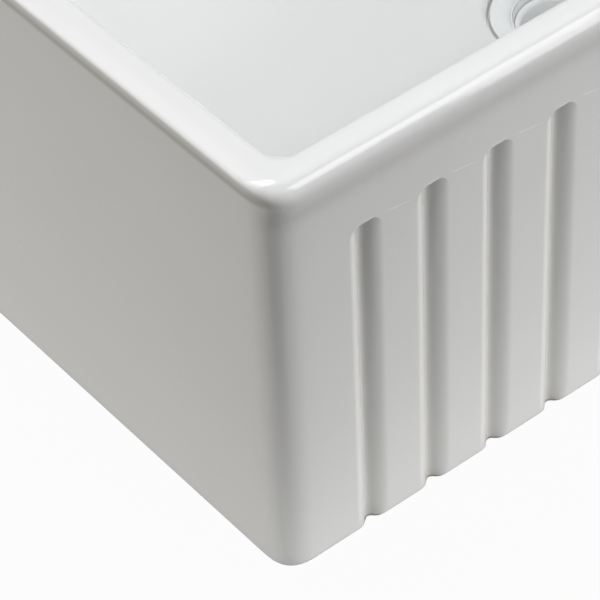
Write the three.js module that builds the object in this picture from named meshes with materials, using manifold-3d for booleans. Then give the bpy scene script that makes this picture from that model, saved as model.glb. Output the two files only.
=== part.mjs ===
// Farmhouse apron front sink in glazed fireclay, with a fluted apron and a basket strainer waste.
// Millimetres, +Z up, +X to the right along the apron, +Y from the apron to the back.
// The origin lies on the flat underside, midway across the width, just behind the apron.

import * as THREE from 'three';
import { mergeVertices } from 'three/addons/utils/BufferGeometryUtils.js';
import Module from 'manifold-3d';

const wasm = await Module();
wasm.setup();

// ---------------------------------------------------------------- basin, outside
const width = 762;
const depth = 457;
const height = 254;
const apronToOrigin = 60;
const cornerReach = 22;
const cornerSquareness = 3.1;
const footRadius = 3;
const rimFrontRoll = 13;
const rimSideRoll = 3.5;
const rimFrontOverhang = 1.8;
const rimSideOverhang = 2;
const rimFrontReturn = 11;
const rimSideReturn = 10.5;

// ---------------------------------------------------------------- basin, inside
const frontWall = 17.8;
const sideWall = 20.7;
const backWall = 20.7;
const rimInnerRadius = 4;
const wallTaper = 6;
const bowlCorner = 14;
const floorFillet = 22;
const floorThickness = 22;
const floorFall = 5;

// ---------------------------------------------------------------- flutes in the apron
const fluteMargin = 55.6;
const flutePitchAim = 41;
const fluteDepth = 5.4;
const fluteWallAngle = THREE.MathUtils.degToRad(48);
const fluteShoulder = 9;
const fluteFloorRadius = 3.2;
const fluteTopBelowRim = 48.5;
const fluteTopReach = 6;
const fluteTopDrop = 9;

// ---------------------------------------------------------------- outlet in the basin floor
const outletFromApron = 216;
const outletRadius = 31;
const sealWidth = 11;
const recessDepth = 6;
const recessLip = 3;

// ---------------------------------------------------------------- strainer waste
const seatGap = 0.3;
const runningGap = 0.4;
const sealThickness = 1.6;
const flangeEdgeGap = 1.5;
const flangeThickness = 2;
const cupClearance = 2;
const cupWall = 3;
const throatWall = 1.2;
const ledgeDepth = 9;
const cupDepth = 46;
const cupFloorFall = 2;
const spoutShoulder = 6.95;
const spoutWall = 3.5;
const spoutLength = 17;
const stopperLandWidth = 5;
const spiderArmWidth = 3;
const spiderHeight = 3;
const spiderAboveSpoutEnd = 3;
const hubWall = 2.5;

// ---------------------------------------------------------------- fixings under the floor
const gasketThickness = 3;
const gasketWidth = 11;
const frictionRingThickness = 1.2;
const lockNutHeight = 12;
const lockNutWall = 8.5;
const lockNutLugReach = 7;
const lockNutLugWidth = 13;
const lockNutLugCount = 4;
const tailWasherThickness = 2;
const tailWall = 1;
const tailFlangeThickness = 1.5;
const tailpieceLength = 76;
const couplingWall = 5;
const couplingHeight = 18;
const couplingLip = 2.5;
const couplingLobeCount = 8;

// ---------------------------------------------------------------- basket and its stopper
const basketWall = 1.2;
const basketDepth = 20;
const basketTaper = 5.6;
const basketFloorRound = 5;
const holeRadius = 1.8;
const floorHoleRings = [[0.54, 8], [0.79, 12]];
const wallHoleCount = 14;
const postRadius = 3;
const guideWall = 2.4;
const guideFlange = 3;
const guideHeight = 8;
const guidePocket = 2;
const clipThickness = 1.2;
const clipOpening = THREE.MathUtils.degToRad(50);
const knobRadius = 9.5;
const knobStem = 5.5;
const knobHeight = 13;
const knobAboveGuide = 6;
const knobSocketDepth = 8;
const plateRadius = 17;
const plateThickness = 1;
const stopperThickness = 4;
const postNutHeight = 3.5;
const postNutAcross = 10;

// ---------------------------------------------------------------- heights that follow
const recessFloor = floorThickness - recessDepth;
const sealBottom = recessFloor + seatGap;
const flangeBottom = sealBottom + sealThickness + seatGap;
const flangeTop = flangeBottom + flangeThickness;
const ledgeTop = flangeTop - ledgeDepth;
const cupFloor = flangeTop - cupDepth;
const spoutEnd = cupFloor - cupWall - spoutLength;
const tailFlangeTop = spoutEnd - seatGap - tailWasherThickness - seatGap;
const tailEnd = tailFlangeTop - tailpieceLength;

// ---------------------------------------------------------------- radii that follow
const flangeRadius = outletRadius + seatGap + sealWidth;
const recessRadius = flangeRadius + flangeEdgeGap;
const cupRadius = outletRadius - cupClearance;
const cupBore = cupRadius - cupWall;
const throatRadius = cupRadius - throatWall;
const spoutBore = cupBore - spoutShoulder;
const spoutRadius = spoutBore + spoutWall;
const tailRadius = spoutBore;
const stopperRadius = spoutBore + stopperLandWidth - seatGap;
const postBore = postRadius + runningGap;

// ---------------------------------------------------------------- materials
const glaze = new THREE.MeshStandardMaterial({ color: 0xf1f2f0, roughness: 0.08, metalness: 0 });
const enamel = new THREE.MeshStandardMaterial({ color: 0xf3f4f4, roughness: 0.15, metalness: 0 });
const steel = new THREE.MeshStandardMaterial({ color: 0xc9cbcc, roughness: 0.2, metalness: 1 });
const brass = new THREE.MeshStandardMaterial({ color: 0xb59b62, roughness: 0.35, metalness: 1 });
const blackRubber = new THREE.MeshStandardMaterial({ color: 0x1c1c1d, roughness: 0.8, metalness: 0 });
const whiteRubber = new THREE.MeshStandardMaterial({ color: 0xdcdcd8, roughness: 0.7, metalness: 0 });
const fibre = new THREE.MeshStandardMaterial({ color: 0x9a7b55, roughness: 0.9, metalness: 0 });
const nylon = new THREE.MeshStandardMaterial({ color: 0xe9e8e2, roughness: 0.5, metalness: 0 });

// ---------------------------------------------------------------- mesh and solid helpers

/** Six times the signed volume of a geometry with an index. */
function signedVolume(geometry) {
  const position = geometry.attributes.position;
  const index = geometry.index;
  const corner = [new THREE.Vector3(), new THREE.Vector3(), new THREE.Vector3()];
  let sum = 0;
  for (let i = 0; i < index.count; i += 3) {
    corner.forEach((vertex, k) => vertex.fromBufferAttribute(position, index.getX(i + k)));
    sum += corner[0].dot(corner[1].cross(corner[2]));
  }
  return sum;
}

/** The geometry with shared vertices joined, no flat triangles, and its faces pointing out. */
function sealed(geometry) {
  const bare = geometry.clone();
  bare.deleteAttribute('normal');
  bare.deleteAttribute('uv');
  const merged = mergeVertices(bare, 1e-4);
  const kept = [];
  for (let i = 0; i < merged.index.count; i += 3) {
    const a = merged.index.getX(i);
    const b = merged.index.getX(i + 1);
    const c = merged.index.getX(i + 2);
    if (a !== b && b !== c && c !== a) kept.push(a, b, c);
  }
  merged.setIndex(kept);
  if (signedVolume(merged) < 0) {
    for (let i = 0; i < kept.length; i += 3) {
      [kept[i], kept[i + 1]] = [kept[i + 1], kept[i]];
    }
    merged.setIndex(kept);
  }
  return merged;
}

function solid(geometry) {
  const closed = sealed(geometry);
  return new wasm.Manifold(new wasm.Mesh({
    numProp: 3,
    vertProperties: new Float32Array(closed.attributes.position.array),
    triVerts: new Uint32Array(closed.index.array),
  }));
}

function geometryOf(manifold) {
  const mesh = manifold.getMesh();
  const geometry = new THREE.BufferGeometry();
  geometry.setAttribute('position', new THREE.BufferAttribute(new Float32Array(mesh.vertProperties), 3));
  geometry.setIndex(Array.from(mesh.triVerts));
  geometry.computeVertexNormals();
  return geometry;
}

function part(name, geometry, material) {
  const mesh = new THREE.Mesh(sealed(geometry), material);
  mesh.name = name;
  mesh.geometry.computeVertexNormals();
  return mesh;
}

/** Points of an arc about (cx, cy), with the angles in degrees and both ends included. */
function arc(cx, cy, rx, ry, from, to, steps) {
  const points = [];
  for (let i = 0; i <= steps; i += 1) {
    const angle = THREE.MathUtils.degToRad(from + ((to - from) * i) / steps);
    points.push([cx + rx * Math.cos(angle), cy + ry * Math.sin(angle)]);
  }
  return points;
}

/** A quarter of a superellipse about (cx, cy): a circle's at squareness 2, and squarer above it. */
function quarter(cx, cy, reach, squareness, from, steps) {
  const bent = (value) => Math.sign(value) * Math.abs(value) ** (2 / squareness);
  return arc(0, 0, 1, 1, from, from + 90, steps).map(([x, y]) => [cx + reach * bent(x), cy + reach * bent(y)]);
}

/** A profile of [radius, height] pairs, which ends on the axis or closes on itself, turned about Z. */
function turned(profile, segments = 40) {
  const points = profile.map(([radius, z]) => new THREE.Vector2(radius, z));
  const onAxis = points[0].x === 0 && points[points.length - 1].x === 0;
  if (!onAxis) points.push(points[0].clone());
  return new THREE.LatheGeometry(points, segments).rotateX(Math.PI / 2);
}

/** A flat ring or tube with a square section. */
function ring(inner, outer, bottom, top, segments = 40) {
  return turned([[inner, bottom], [outer, bottom], [outer, top], [inner, top]], segments);
}

function outline(points) {
  return new THREE.Shape(points.map(([x, y]) => new THREE.Vector2(x, y)));
}

/** An outline in X and Y, carried up from one height to another. */
function prism(points, bottom, top) {
  const settings = { depth: top - bottom, bevelEnabled: false };
  return new THREE.ExtrudeGeometry(outline(points), settings).translate(0, 0, bottom);
}

/** A closed skin through rings that hold equally many points, with a flat cap at each end. */
function lofted(rings) {
  const count = rings[0].length;
  const positions = rings.flat(2);
  const index = [];
  for (let r = 0; r + 1 < rings.length; r += 1) {
    for (let i = 0; i < count; i += 1) {
      const a = r * count + i;
      const b = r * count + ((i + 1) % count);
      index.push(a, b, b + count, a, b + count, a + count);
    }
  }
  for (const end of [0, rings.length - 1]) {
    const hub = positions.length / 3;
    const sum = rings[end].reduce((total, p) => [total[0] + p[0], total[1] + p[1]], [0, 0]);
    positions.push(sum[0] / count, sum[1] / count, rings[end][0][2]);
    for (let i = 0; i < count; i += 1) {
      const a = end * count + i;
      const b = end * count + ((i + 1) % count);
      index.push(...(end === 0 ? [hub, b, a] : [hub, a, b]));
    }
  }
  const geometry = new THREE.BufferGeometry();
  geometry.setAttribute('position', new THREE.Float32BufferAttribute(positions, 3));
  geometry.setIndex(index);
  return geometry;
}

// ---------------------------------------------------------------- basin

/** A rectangle with soft corners at one height, set in from the sides, the apron and the back. */
function basinRing(z, side, front, back, reach, squareness, cornerSteps, edgeSteps) {
  const left = side - width / 2;
  const right = width / 2 - side;
  const near = front;
  const far = depth - back;
  const corners = [
    ...[[right - reach, near + reach, -90], [right - reach, far - reach, 0]],
    ...[[left + reach, far - reach, 90], [left + reach, near + reach, 180]],
  ];
  const points = [];
  corners.forEach(([cx, cy, start], c) => {
    const bend = quarter(cx, cy, reach, squareness, start, cornerSteps);
    const next = corners[(c + 1) % corners.length];
    const goal = quarter(next[0], next[1], reach, squareness, next[2], cornerSteps)[0];
    const last = bend[bend.length - 1];
    points.push(...bend);
    for (let i = 1; i < edgeSteps; i += 1) {
      const share = i / edgeSteps;
      points.push([last[0] + (goal[0] - last[0]) * share, last[1] + (goal[1] - last[1]) * share]);
    }
  });
  return points.map(([x, y]) => [x, y, z]);
}

/** How far the outside lies behind the rim's furthest point, at a drop below the top of the rim. */
function setback(drop, roll, overhang, fall) {
  if (drop <= roll) return roll - Math.sqrt(roll ** 2 - (roll - drop) ** 2);
  return overhang * THREE.MathUtils.smoothstep(drop - roll, 0, fall);
}

/** Outside of the casting: a small foot radius, upright walls and a rolled rim that overhangs them. */
function basinBlock() {
  const cornerSteps = 8;
  const footSteps = 3;
  const frontRollSteps = 6;
  const sideRollSteps = 3;
  const returnSteps = 4;
  const closest = 0.3;
  const rings = [];
  const at = (z, side, front, reach) => basinRing(z, side, front, side, reach, cornerSquareness, cornerSteps, 1);
  for (let step = 0; step <= footSteps; step += 1) {
    const angle = (step / footSteps) * (Math.PI / 2);
    const inset = footRadius * (1 - Math.sin(angle));
    const z = footRadius * (1 - Math.cos(angle));
    rings.push(at(z, rimSideOverhang + inset, rimFrontOverhang + inset, cornerReach - inset));
  }
  const drops = [];
  for (let step = 0; step <= frontRollSteps; step += 1) {
    drops.push(rimFrontRoll * (1 - Math.sin((step / frontRollSteps) * (Math.PI / 2))));
  }
  for (let step = 0; step < sideRollSteps; step += 1) {
    drops.push(rimSideRoll * (1 - Math.sin((step / sideRollSteps) * (Math.PI / 2))));
  }
  for (let step = 1; step <= returnSteps; step += 1) {
    drops.push(rimSideRoll + (rimSideReturn * step) / returnSteps);
    drops.push(rimFrontRoll + (rimFrontReturn * step) / returnSteps);
  }
  const sorted = drops.sort((a, b) => b - a);
  const spaced = sorted.filter((drop, i) => i === 0 || sorted[i - 1] - drop > closest);
  for (const drop of spaced) {
    const front = setback(drop, rimFrontRoll, rimFrontOverhang, rimFrontReturn);
    const side = setback(drop, rimSideRoll, rimSideOverhang, rimSideReturn);
    const shrink = drop < rimSideRoll ? Math.min(side, front) : 0;
    rings.push(at(height - drop, side, front, cornerReach - shrink));
  }
  return solid(lofted(rings));
}

/** The bowl, as the shape that is taken out of the block: rim lip, walls, floor fillet and fall. */
function bowlHollow() {
  const cornerSteps = 6;
  const edgeSteps = 8;
  const above = 2;
  const at = (z, inset) => basinRing(z, sideWall + inset, frontWall + inset, backWall + inset,
    bowlCorner + Math.max(inset, 1 - bowlCorner), 2, cornerSteps, edgeSteps);
  const rings = [];
  const lipSteps = 4;
  const filletSteps = 5;
  rings.push(at(height + above, -rimInnerRadius));
  for (let step = 0; step <= lipSteps; step += 1) {
    const angle = (step / lipSteps) * (Math.PI / 2);
    const inset = -rimInnerRadius * (1 - Math.sin(angle));
    rings.push(at(height - rimInnerRadius * (1 - Math.cos(angle)), inset));
  }
  const floorEdge = floorThickness + floorFall;
  for (let step = 0; step <= filletSteps; step += 1) {
    const angle = (step / filletSteps) * (Math.PI / 2);
    const inset = wallTaper + floorFillet * (1 - Math.cos(angle));
    rings.push(at(floorEdge + floorFillet * (1 - Math.sin(angle)), inset));
  }
  const rimOfOutlet = recessRadius + recessLip + 1;
  const last = rings[rings.length - 1];
  rings.push(last.map(([x, y]) => {
    const angle = Math.atan2(y - outletFromApron, x);
    return [rimOfOutlet * Math.cos(angle), outletFromApron + rimOfOutlet * Math.sin(angle), floorThickness];
  }));
  return solid(lofted(rings.reverse()));
}

/** Section of one flute in X and Y: round shoulders, slanting walls and a narrow round floor. */
function fluteSection() {
  const angle = THREE.MathUtils.radToDeg(fluteWallAngle);
  const shoulderDrop = fluteShoulder * (1 - Math.cos(fluteWallAngle));
  const shoulderReach = fluteShoulder * Math.sin(fluteWallAngle);
  const floorReach = fluteFloorRadius * Math.sin(fluteWallAngle);
  const floorRise = fluteFloorRadius * (1 - Math.cos(fluteWallAngle));
  const wallDrop = Math.max(fluteDepth - shoulderDrop - floorRise, 0.1);
  const wallReach = wallDrop / Math.tan(fluteWallAngle);
  const half = shoulderReach + wallReach + floorReach;
  const shoulder = arc(half, fluteShoulder, fluteShoulder, fluteShoulder, -90, -90 - angle, 4);
  const floor = arc(0, fluteDepth - fluteFloorRadius, fluteFloorRadius, fluteFloorRadius, 90 - angle, 90, 2);
  const rightHalf = [...shoulder, ...floor];
  const leftHalf = rightHalf.slice(0, -1).reverse().map(([x, y]) => [-x, y]);
  return { half, points: [[half, -1], ...rightHalf, ...leftHalf, [-half, -1]] };
}

/** One flute: its section carried up the apron's face, and trimmed to a top with round corners. */
function fluteHollow() {
  const { half, points } = fluteSection();
  const top = height - fluteTopBelowRim;
  const below = 2;
  const shaft = solid(prism(points, -below, top + below));
  const reach = Math.min(fluteTopReach, half);
  const right = arc(half - reach, top - fluteTopDrop, reach, fluteTopDrop, 0, 90, 5);
  const left = right.slice().reverse().map(([x, z]) => [-x, z]);
  const window = [[-half, -below], [half, -below], ...right, ...left];
  const frame = prism(window, -below, fluteDepth + below).rotateX(Math.PI / 2);
  frame.translate(0, fluteDepth, 0);
  return shaft.intersect(solid(frame)).translate([0, rimFrontOverhang, 0]);
}

/** The outlet hole, and the recess with a soft lip that takes the flange of the waste. */
function outletHollow() {
  const lip = arc(recessRadius + recessLip, floorThickness - recessLip, recessLip, recessLip, 90, 180, 4);
  const profile = [
    [0, floorThickness + 2], [recessRadius + recessLip, floorThickness + 2], ...lip,
    [recessRadius, recessFloor], [outletRadius, recessFloor], [outletRadius, -2], [0, -2],
  ];
  return solid(turned(profile, 48).translate(0, outletFromApron, 0));
}

function basin() {
  let body = basinBlock().subtract(bowlHollow()).subtract(outletHollow());
  const run = width - 2 * fluteMargin;
  const gaps = Math.max(Math.round(run / flutePitchAim), 1);
  for (let i = 0; i <= gaps; i += 1) {
    body = body.subtract(fluteHollow().translate([(i / gaps - 0.5) * run, 0, 0]));
  }
  return part('basin', geometryOf(body), glaze);
}

// ---------------------------------------------------------------- strainer waste, fixed pieces

function flangeSeal() {
  return part('flange_seal', ring(outletRadius + seatGap, flangeRadius, sealBottom, sealBottom + sealThickness),
    whiteRubber);
}

/** Flange, throat, basket ledge, threaded cup and threaded spout, cast in one with the spider. */
function strainerBody() {
  const throatTop = throatRadius + (flangeTop - ledgeTop) / 3;
  const shell = solid(turned([
    [spoutBore, spoutEnd], [spoutRadius, spoutEnd], [spoutRadius, cupFloor - cupWall],
    [cupRadius, cupFloor + cupFloorFall - cupWall], [cupRadius, flangeBottom],
    ...arc(flangeRadius - flangeThickness / 2, flangeBottom + flangeThickness / 2,
      flangeThickness / 2, flangeThickness / 2, -90, 90, 3),
    [throatTop, flangeTop], ...arc(throatTop, ledgeTop + ledgeDepth / 2, throatTop - throatRadius,
      ledgeDepth / 2, 90, 180, 3),
    [throatRadius, ledgeTop], [cupBore, ledgeTop], [cupBore, cupFloor + cupFloorFall],
    [spoutBore + stopperLandWidth, cupFloor], [spoutBore, cupFloor],
  ]));
  const bottom = spoutEnd + spiderAboveSpoutEnd;
  const reach = (spoutBore + spoutRadius) / 2;
  const arm = (turn) => solid(new THREE.BoxGeometry(2 * reach, spiderArmWidth, spiderHeight)
    .rotateZ(turn).translate(0, 0, bottom + spiderHeight / 2));
  const hub = solid(turned([[0, bottom], [postBore + hubWall, bottom],
    [postBore + hubWall, bottom + spiderHeight], [0, bottom + spiderHeight]], 24));
  const bore = solid(turned([[0, bottom - 1], [postBore, bottom - 1],
    [postBore, bottom + spiderHeight + 1], [0, bottom + spiderHeight + 1]], 24));
  const spider = hub.add(arm(0)).add(arm(Math.PI / 2));
  return part('strainer_body', geometryOf(shell.add(spider).subtract(bore)), enamel);
}

function undersideGasket() {
  const top = -seatGap;
  return part('underside_gasket',
    ring(cupRadius + seatGap, cupRadius + gasketWidth, top - gasketThickness, top), blackRubber);
}

function frictionRing() {
  const top = -seatGap - gasketThickness - seatGap;
  return part('friction_ring',
    ring(cupRadius + seatGap, cupRadius + gasketWidth, top - frictionRingThickness, top), fibre);
}

/** The large nut that draws the cup down: a threaded ring with lugs to drive it round. */
function lockNut() {
  const top = -gasketThickness - frictionRingThickness - 3 * seatGap;
  const bottom = top - lockNutHeight;
  const inner = cupRadius + seatGap;
  const outer = inner + lockNutWall;
  let nut = solid(ring(inner, outer, bottom, top, 48));
  for (let i = 0; i < lockNutLugCount; i += 1) {
    const lug = new THREE.BoxGeometry(lockNutLugReach + lockNutWall / 2, lockNutLugWidth, lockNutHeight)
      .translate(outer + (lockNutLugReach - lockNutWall / 2) / 2, 0, (top + bottom) / 2)
      .rotateZ(((i + 0.5) / lockNutLugCount) * 2 * Math.PI);
    nut = nut.add(solid(lug));
  }
  return part('lock_nut', geometryOf(nut), brass);
}

function tailpieceWasher() {
  const top = spoutEnd - seatGap;
  return part('tailpiece_washer',
    ring(tailRadius - tailWall, spoutRadius, top - tailWasherThickness, top), nylon);
}

function tailpiece() {
  const bore = tailRadius - tailWall;
  return part('tailpiece', turned([
    [bore, tailEnd], [tailRadius, tailEnd], [tailRadius, tailFlangeTop - tailFlangeThickness],
    [spoutRadius, tailFlangeTop - tailFlangeThickness], [spoutRadius, tailFlangeTop], [bore, tailFlangeTop],
  ]), steel);
}

/** Slip nut that clamps the tailpiece flange to the spout, with grip lobes outside. */
function couplingNut() {
  const lipTop = tailFlangeTop - tailFlangeThickness - seatGap;
  const bottom = lipTop - couplingLip;
  const top = bottom + couplingHeight;
  const bore = spoutRadius + runningGap;
  const outer = bore + couplingWall;
  const steps = couplingLobeCount * 6;
  const points = [];
  for (let i = 0; i < steps; i += 1) {
    const turn = (i / steps) * 2 * Math.PI;
    const radius = outer - (couplingWall / 5) * (1 - Math.cos(turn * couplingLobeCount));
    points.push([radius * Math.cos(turn), radius * Math.sin(turn)]);
  }
  const hollow = solid(turned([
    [0, bottom - 1], [tailRadius + runningGap, bottom - 1], [tailRadius + runningGap, lipTop],
    [bore, lipTop], [bore, top + 1], [0, top + 1],
  ]));
  return part('coupling_nut', geometryOf(solid(prism(points, bottom, top)).subtract(hollow)), brass);
}

// ---------------------------------------------------------------- basket

const basketRimRadius = throatRadius - runningGap;
const basketTopRadius = cupBore - runningGap;
const basketFloorRadius = basketTopRadius - basketTaper;
const basketRimTop = ledgeTop + seatGap + basketWall;
const basketFloorTop = basketRimTop - basketDepth;
const guideBore = postBore;
const guideRadius = guideBore + guideWall;

/** Perforated bowl with a rim that hangs on the ledge of the strainer cup. */
function basketBowl() {
  const rimBottom = ledgeTop + seatGap;
  const floorBottom = basketFloorTop - basketWall;
  const inner = basketFloorRadius - basketWall;
  const guideHole = guideRadius + seatGap;
  const roundIn = basketFloorRound - basketWall;
  const outerBend = arc(basketFloorRadius - basketFloorRound, floorBottom + basketFloorRound,
    basketFloorRound, basketFloorRound, -90, -15, 4);
  const innerBend = arc(inner - roundIn, basketFloorTop + roundIn, roundIn, roundIn, -15, -90, 4);
  let bowl = solid(turned([
    [guideHole, floorBottom], ...outerBend, [basketTopRadius, rimBottom],
    [basketRimRadius, rimBottom], [basketRimRadius, basketRimTop],
    [basketTopRadius - basketWall, basketRimTop], ...innerBend, [guideHole, basketFloorTop],
  ]));
  const drill = (length) => new THREE.CylinderGeometry(holeRadius, holeRadius, length, 8);
  for (const [share, count] of floorHoleRings) {
    const radius = share * basketFloorRadius;
    for (let i = 0; i < count; i += 1) {
      const turn = ((i + 0.5) / count) * 2 * Math.PI;
      bowl = bowl.subtract(solid(drill(4 * basketWall).rotateX(Math.PI / 2)
        .translate(radius * Math.cos(turn), radius * Math.sin(turn), basketFloorTop)));
    }
  }
  const wallHoleHeight = basketFloorTop + basketDepth / 2;
  for (let i = 0; i < wallHoleCount; i += 1) {
    const turn = (i / wallHoleCount) * 2 * Math.PI;
    const cut = drill(basketTopRadius / 2).rotateZ(Math.PI / 2)
      .translate(basketFloorRadius + basketTopRadius / 8, 0, wallHoleHeight).rotateZ(turn);
    bowl = bowl.subtract(solid(cut));
  }
  return part('basket_bowl', geometryOf(bowl), enamel);
}

/** Sleeve riveted through the basket floor, in which the stopper post slides. */
function postGuide() {
  const floorBottom = basketFloorTop - basketWall;
  const flange = guideRadius + guideFlange;
  const top = basketFloorTop + guideHeight;
  const pocket = guideRadius - guideWall / 3;
  return part('post_guide', turned([
    [guideBore, floorBottom - seatGap - basketWall], [flange - 1, floorBottom - seatGap - basketWall],
    [flange - 1, floorBottom - seatGap], [guideRadius, floorBottom - seatGap],
    [guideRadius, basketFloorTop + seatGap], [flange, basketFloorTop + seatGap],
    [flange, basketFloorTop + seatGap + basketWall], [guideRadius, basketFloorTop + seatGap + basketWall],
    [guideRadius, top], [pocket, top], [pocket, top - guidePocket], [guideBore, top - guidePocket],
  ], 32), steel);
}

/** Open spring ring in the top of the guide, whose grip holds the post up or down. */
function detentClip() {
  const pocket = guideRadius - guideWall / 3;
  const outer = pocket - seatGap;
  const inner = guideBore - runningGap / 3;
  const half = THREE.MathUtils.radToDeg(clipOpening) / 2;
  const points = [...arc(0, 0, outer, outer, half, 360 - half, 20), ...arc(0, 0, inner, inner, 360 - half, half, 20)];
  const bottom = basketFloorTop + guideHeight - guidePocket + seatGap;
  return part('detent_clip', prism(points, bottom, bottom + clipThickness), steel);
}

// ---------------------------------------------------------------- stopper

const stopperBottom = cupFloor + seatGap;
const knobBottom = basketFloorTop + guideHeight + knobAboveGuide;

function stopperPost() {
  const bottom = spoutEnd + spiderAboveSpoutEnd;
  const top = knobBottom + knobSocketDepth - seatGap;
  return part('stopper_post', turned([
    [0, bottom], [postRadius - 1, bottom], [postRadius, bottom + 1], [postRadius, top - 0.5],
    [postRadius - 0.5, top], [0, top],
  ], 24), steel);
}

/** Mushroom knob with a blind socket for the post. */
function stopperKnob() {
  const top = knobBottom + knobHeight;
  const socket = postRadius + seatGap;
  const waist = knobBottom + knobHeight / 3;
  const capRise = knobHeight / 3;
  return part('stopper_knob', turned([
    [0, knobBottom + knobSocketDepth], [socket, knobBottom + knobSocketDepth], [socket, knobBottom],
    [knobStem, knobBottom], [knobStem - 1, waist],
    ...arc(knobRadius - 2, waist + capRise, 2, 2, -90, 0, 3),
    ...arc(0, top - capRise, knobRadius, capRise, 0, 90, 6),
  ], 32), steel);
}

function backingPlate() {
  const bottom = stopperBottom + stopperThickness + seatGap;
  return part('backing_plate',
    ring(postRadius + seatGap, plateRadius, bottom, bottom + plateThickness, 32), steel);
}

/** Rubber disc that closes the spout when the knob is pushed down. */
function stopperSeal() {
  const inner = postRadius + seatGap;
  return part('stopper_seal', turned([
    [inner, stopperBottom], [stopperRadius - 1, stopperBottom], [stopperRadius, stopperBottom + 1],
    [stopperRadius, stopperBottom + 2], [plateRadius, stopperBottom + stopperThickness],
    [inner, stopperBottom + stopperThickness],
  ], 40), blackRubber);
}

function postNut() {
  const top = stopperBottom - seatGap;
  const radius = postNutAcross / 2 / Math.cos(Math.PI / 6);
  const hexagon = arc(0, 0, radius, radius, 0, 300, 5);
  const bore = solid(turned([[0, top - postNutHeight - 1], [postRadius + seatGap, top - postNutHeight - 1],
    [postRadius + seatGap, top + 1], [0, top + 1]], 24));
  return part('post_nut', geometryOf(solid(prism(hexagon, top - postNutHeight, top)).subtract(bore)), steel);
}

// ---------------------------------------------------------------- assembly

const stopper = new THREE.Group();
stopper.add(stopperPost(), stopperKnob(), backingPlate(), stopperSeal(), postNut());

const basket = new THREE.Group();
basket.add(basketBowl(), postGuide(), detentClip(), stopper);

const waste = new THREE.Group();
waste.add(flangeSeal(), strainerBody(), undersideGasket(), frictionRing(), lockNut());
waste.add(tailpieceWasher(), tailpiece(), couplingNut(), basket);
waste.position.set(0, outletFromApron, 0);

const sink = new THREE.Group();
sink.name = 'farmhouse_sink';
sink.add(basin(), waste);
sink.position.set(0, -apronToOrigin, 0);

export default sink;
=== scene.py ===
"""Looks of a farmhouse apron front sink: the glazed fireclay casting and its basket strainer waste.

Every surface is worked out in millimetres in the part's own frame: +X to the right along the
apron, +Y from the apron to the back, +Z up, with the origin on the flat underside 60 mm behind
the apron. It is written to the meshes in metres. In the functions, s stands for the sizes of the
casting and w for those of the waste, both in millimetres.
"""

from collections import namedtuple
from types import SimpleNamespace

import bmesh
import bpy
import numpy as np
from bpy.props import FloatProperty, FloatVectorProperty, IntProperty, PointerProperty
from bpy.types import Operator, Panel, PropertyGroup
from mathutils import Matrix, Vector


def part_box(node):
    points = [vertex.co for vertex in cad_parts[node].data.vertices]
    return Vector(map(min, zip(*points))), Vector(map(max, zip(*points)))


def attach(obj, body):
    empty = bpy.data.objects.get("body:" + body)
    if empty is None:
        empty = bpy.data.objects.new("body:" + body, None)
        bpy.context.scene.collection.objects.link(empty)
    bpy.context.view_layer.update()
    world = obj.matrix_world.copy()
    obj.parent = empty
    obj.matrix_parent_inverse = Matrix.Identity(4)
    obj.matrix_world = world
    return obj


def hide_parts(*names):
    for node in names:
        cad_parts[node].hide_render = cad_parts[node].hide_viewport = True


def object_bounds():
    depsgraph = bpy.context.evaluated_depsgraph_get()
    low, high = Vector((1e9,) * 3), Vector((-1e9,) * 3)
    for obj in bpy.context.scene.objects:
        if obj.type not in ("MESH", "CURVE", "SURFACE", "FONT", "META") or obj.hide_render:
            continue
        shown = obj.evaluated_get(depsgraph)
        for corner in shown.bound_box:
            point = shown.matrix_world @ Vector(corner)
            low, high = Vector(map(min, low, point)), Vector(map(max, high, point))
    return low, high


bl_info = {
    "name": "Farmhouse sink looks",
    "version": (1, 0, 0),
    "blender": (4, 5, 0),
    "location": "3D View > Sidebar > Sink",
    "description": "Builds the glazed casting, the strainer waste and the studio of a farmhouse sink",
    "category": "Object",
}

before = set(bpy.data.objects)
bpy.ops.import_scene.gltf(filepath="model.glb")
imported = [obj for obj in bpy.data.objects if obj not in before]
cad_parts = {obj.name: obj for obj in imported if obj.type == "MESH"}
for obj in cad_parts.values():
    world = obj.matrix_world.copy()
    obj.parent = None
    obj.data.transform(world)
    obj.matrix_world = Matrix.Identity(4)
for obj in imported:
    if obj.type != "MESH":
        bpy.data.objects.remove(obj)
CAD_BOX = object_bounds()

MM = 0.001
FULL_TURN, QUARTER_TURN = 2 * np.pi, np.pi / 2


def millimetres(node):
    """Lowest and highest corner of a CAD node, in millimetres."""
    low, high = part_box(node)
    return np.array(low) / MM, np.array(high) / MM


CASTING_LOW, CASTING_HIGH = millimetres("basin")
HALF_WIDTH = (CASTING_HIGH[0] - CASTING_LOW[0]) / 2
WASTE_CENTRE = sum(millimetres("strainer_body"))[:2] / 2


def length(name, default, description):
    """A size in metres, given here in millimetres."""
    return FloatProperty(
        name=name, description=description, default=default * MM, min=0.0, unit="LENGTH", precision=5
    )


def degrees(name, default, description):
    """An angle, given here in degrees."""
    default = float(np.radians(default))
    return FloatProperty(name=name, description=description, default=default, subtype="ANGLE")


def amount(name, default, description, least=0.0):
    """A plain number."""
    return FloatProperty(name=name, description=description, default=default, min=least)


def colour(name, default, description):
    """A linear colour."""
    return FloatVectorProperty(
        name=name, description=description, default=default, size=3, min=0.0, max=1.0, subtype="COLOR"
    )


def power(name, default, description):
    """The power of a light in watts."""
    return FloatProperty(name=name, description=description, default=default, min=0.0, unit="POWER")


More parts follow.
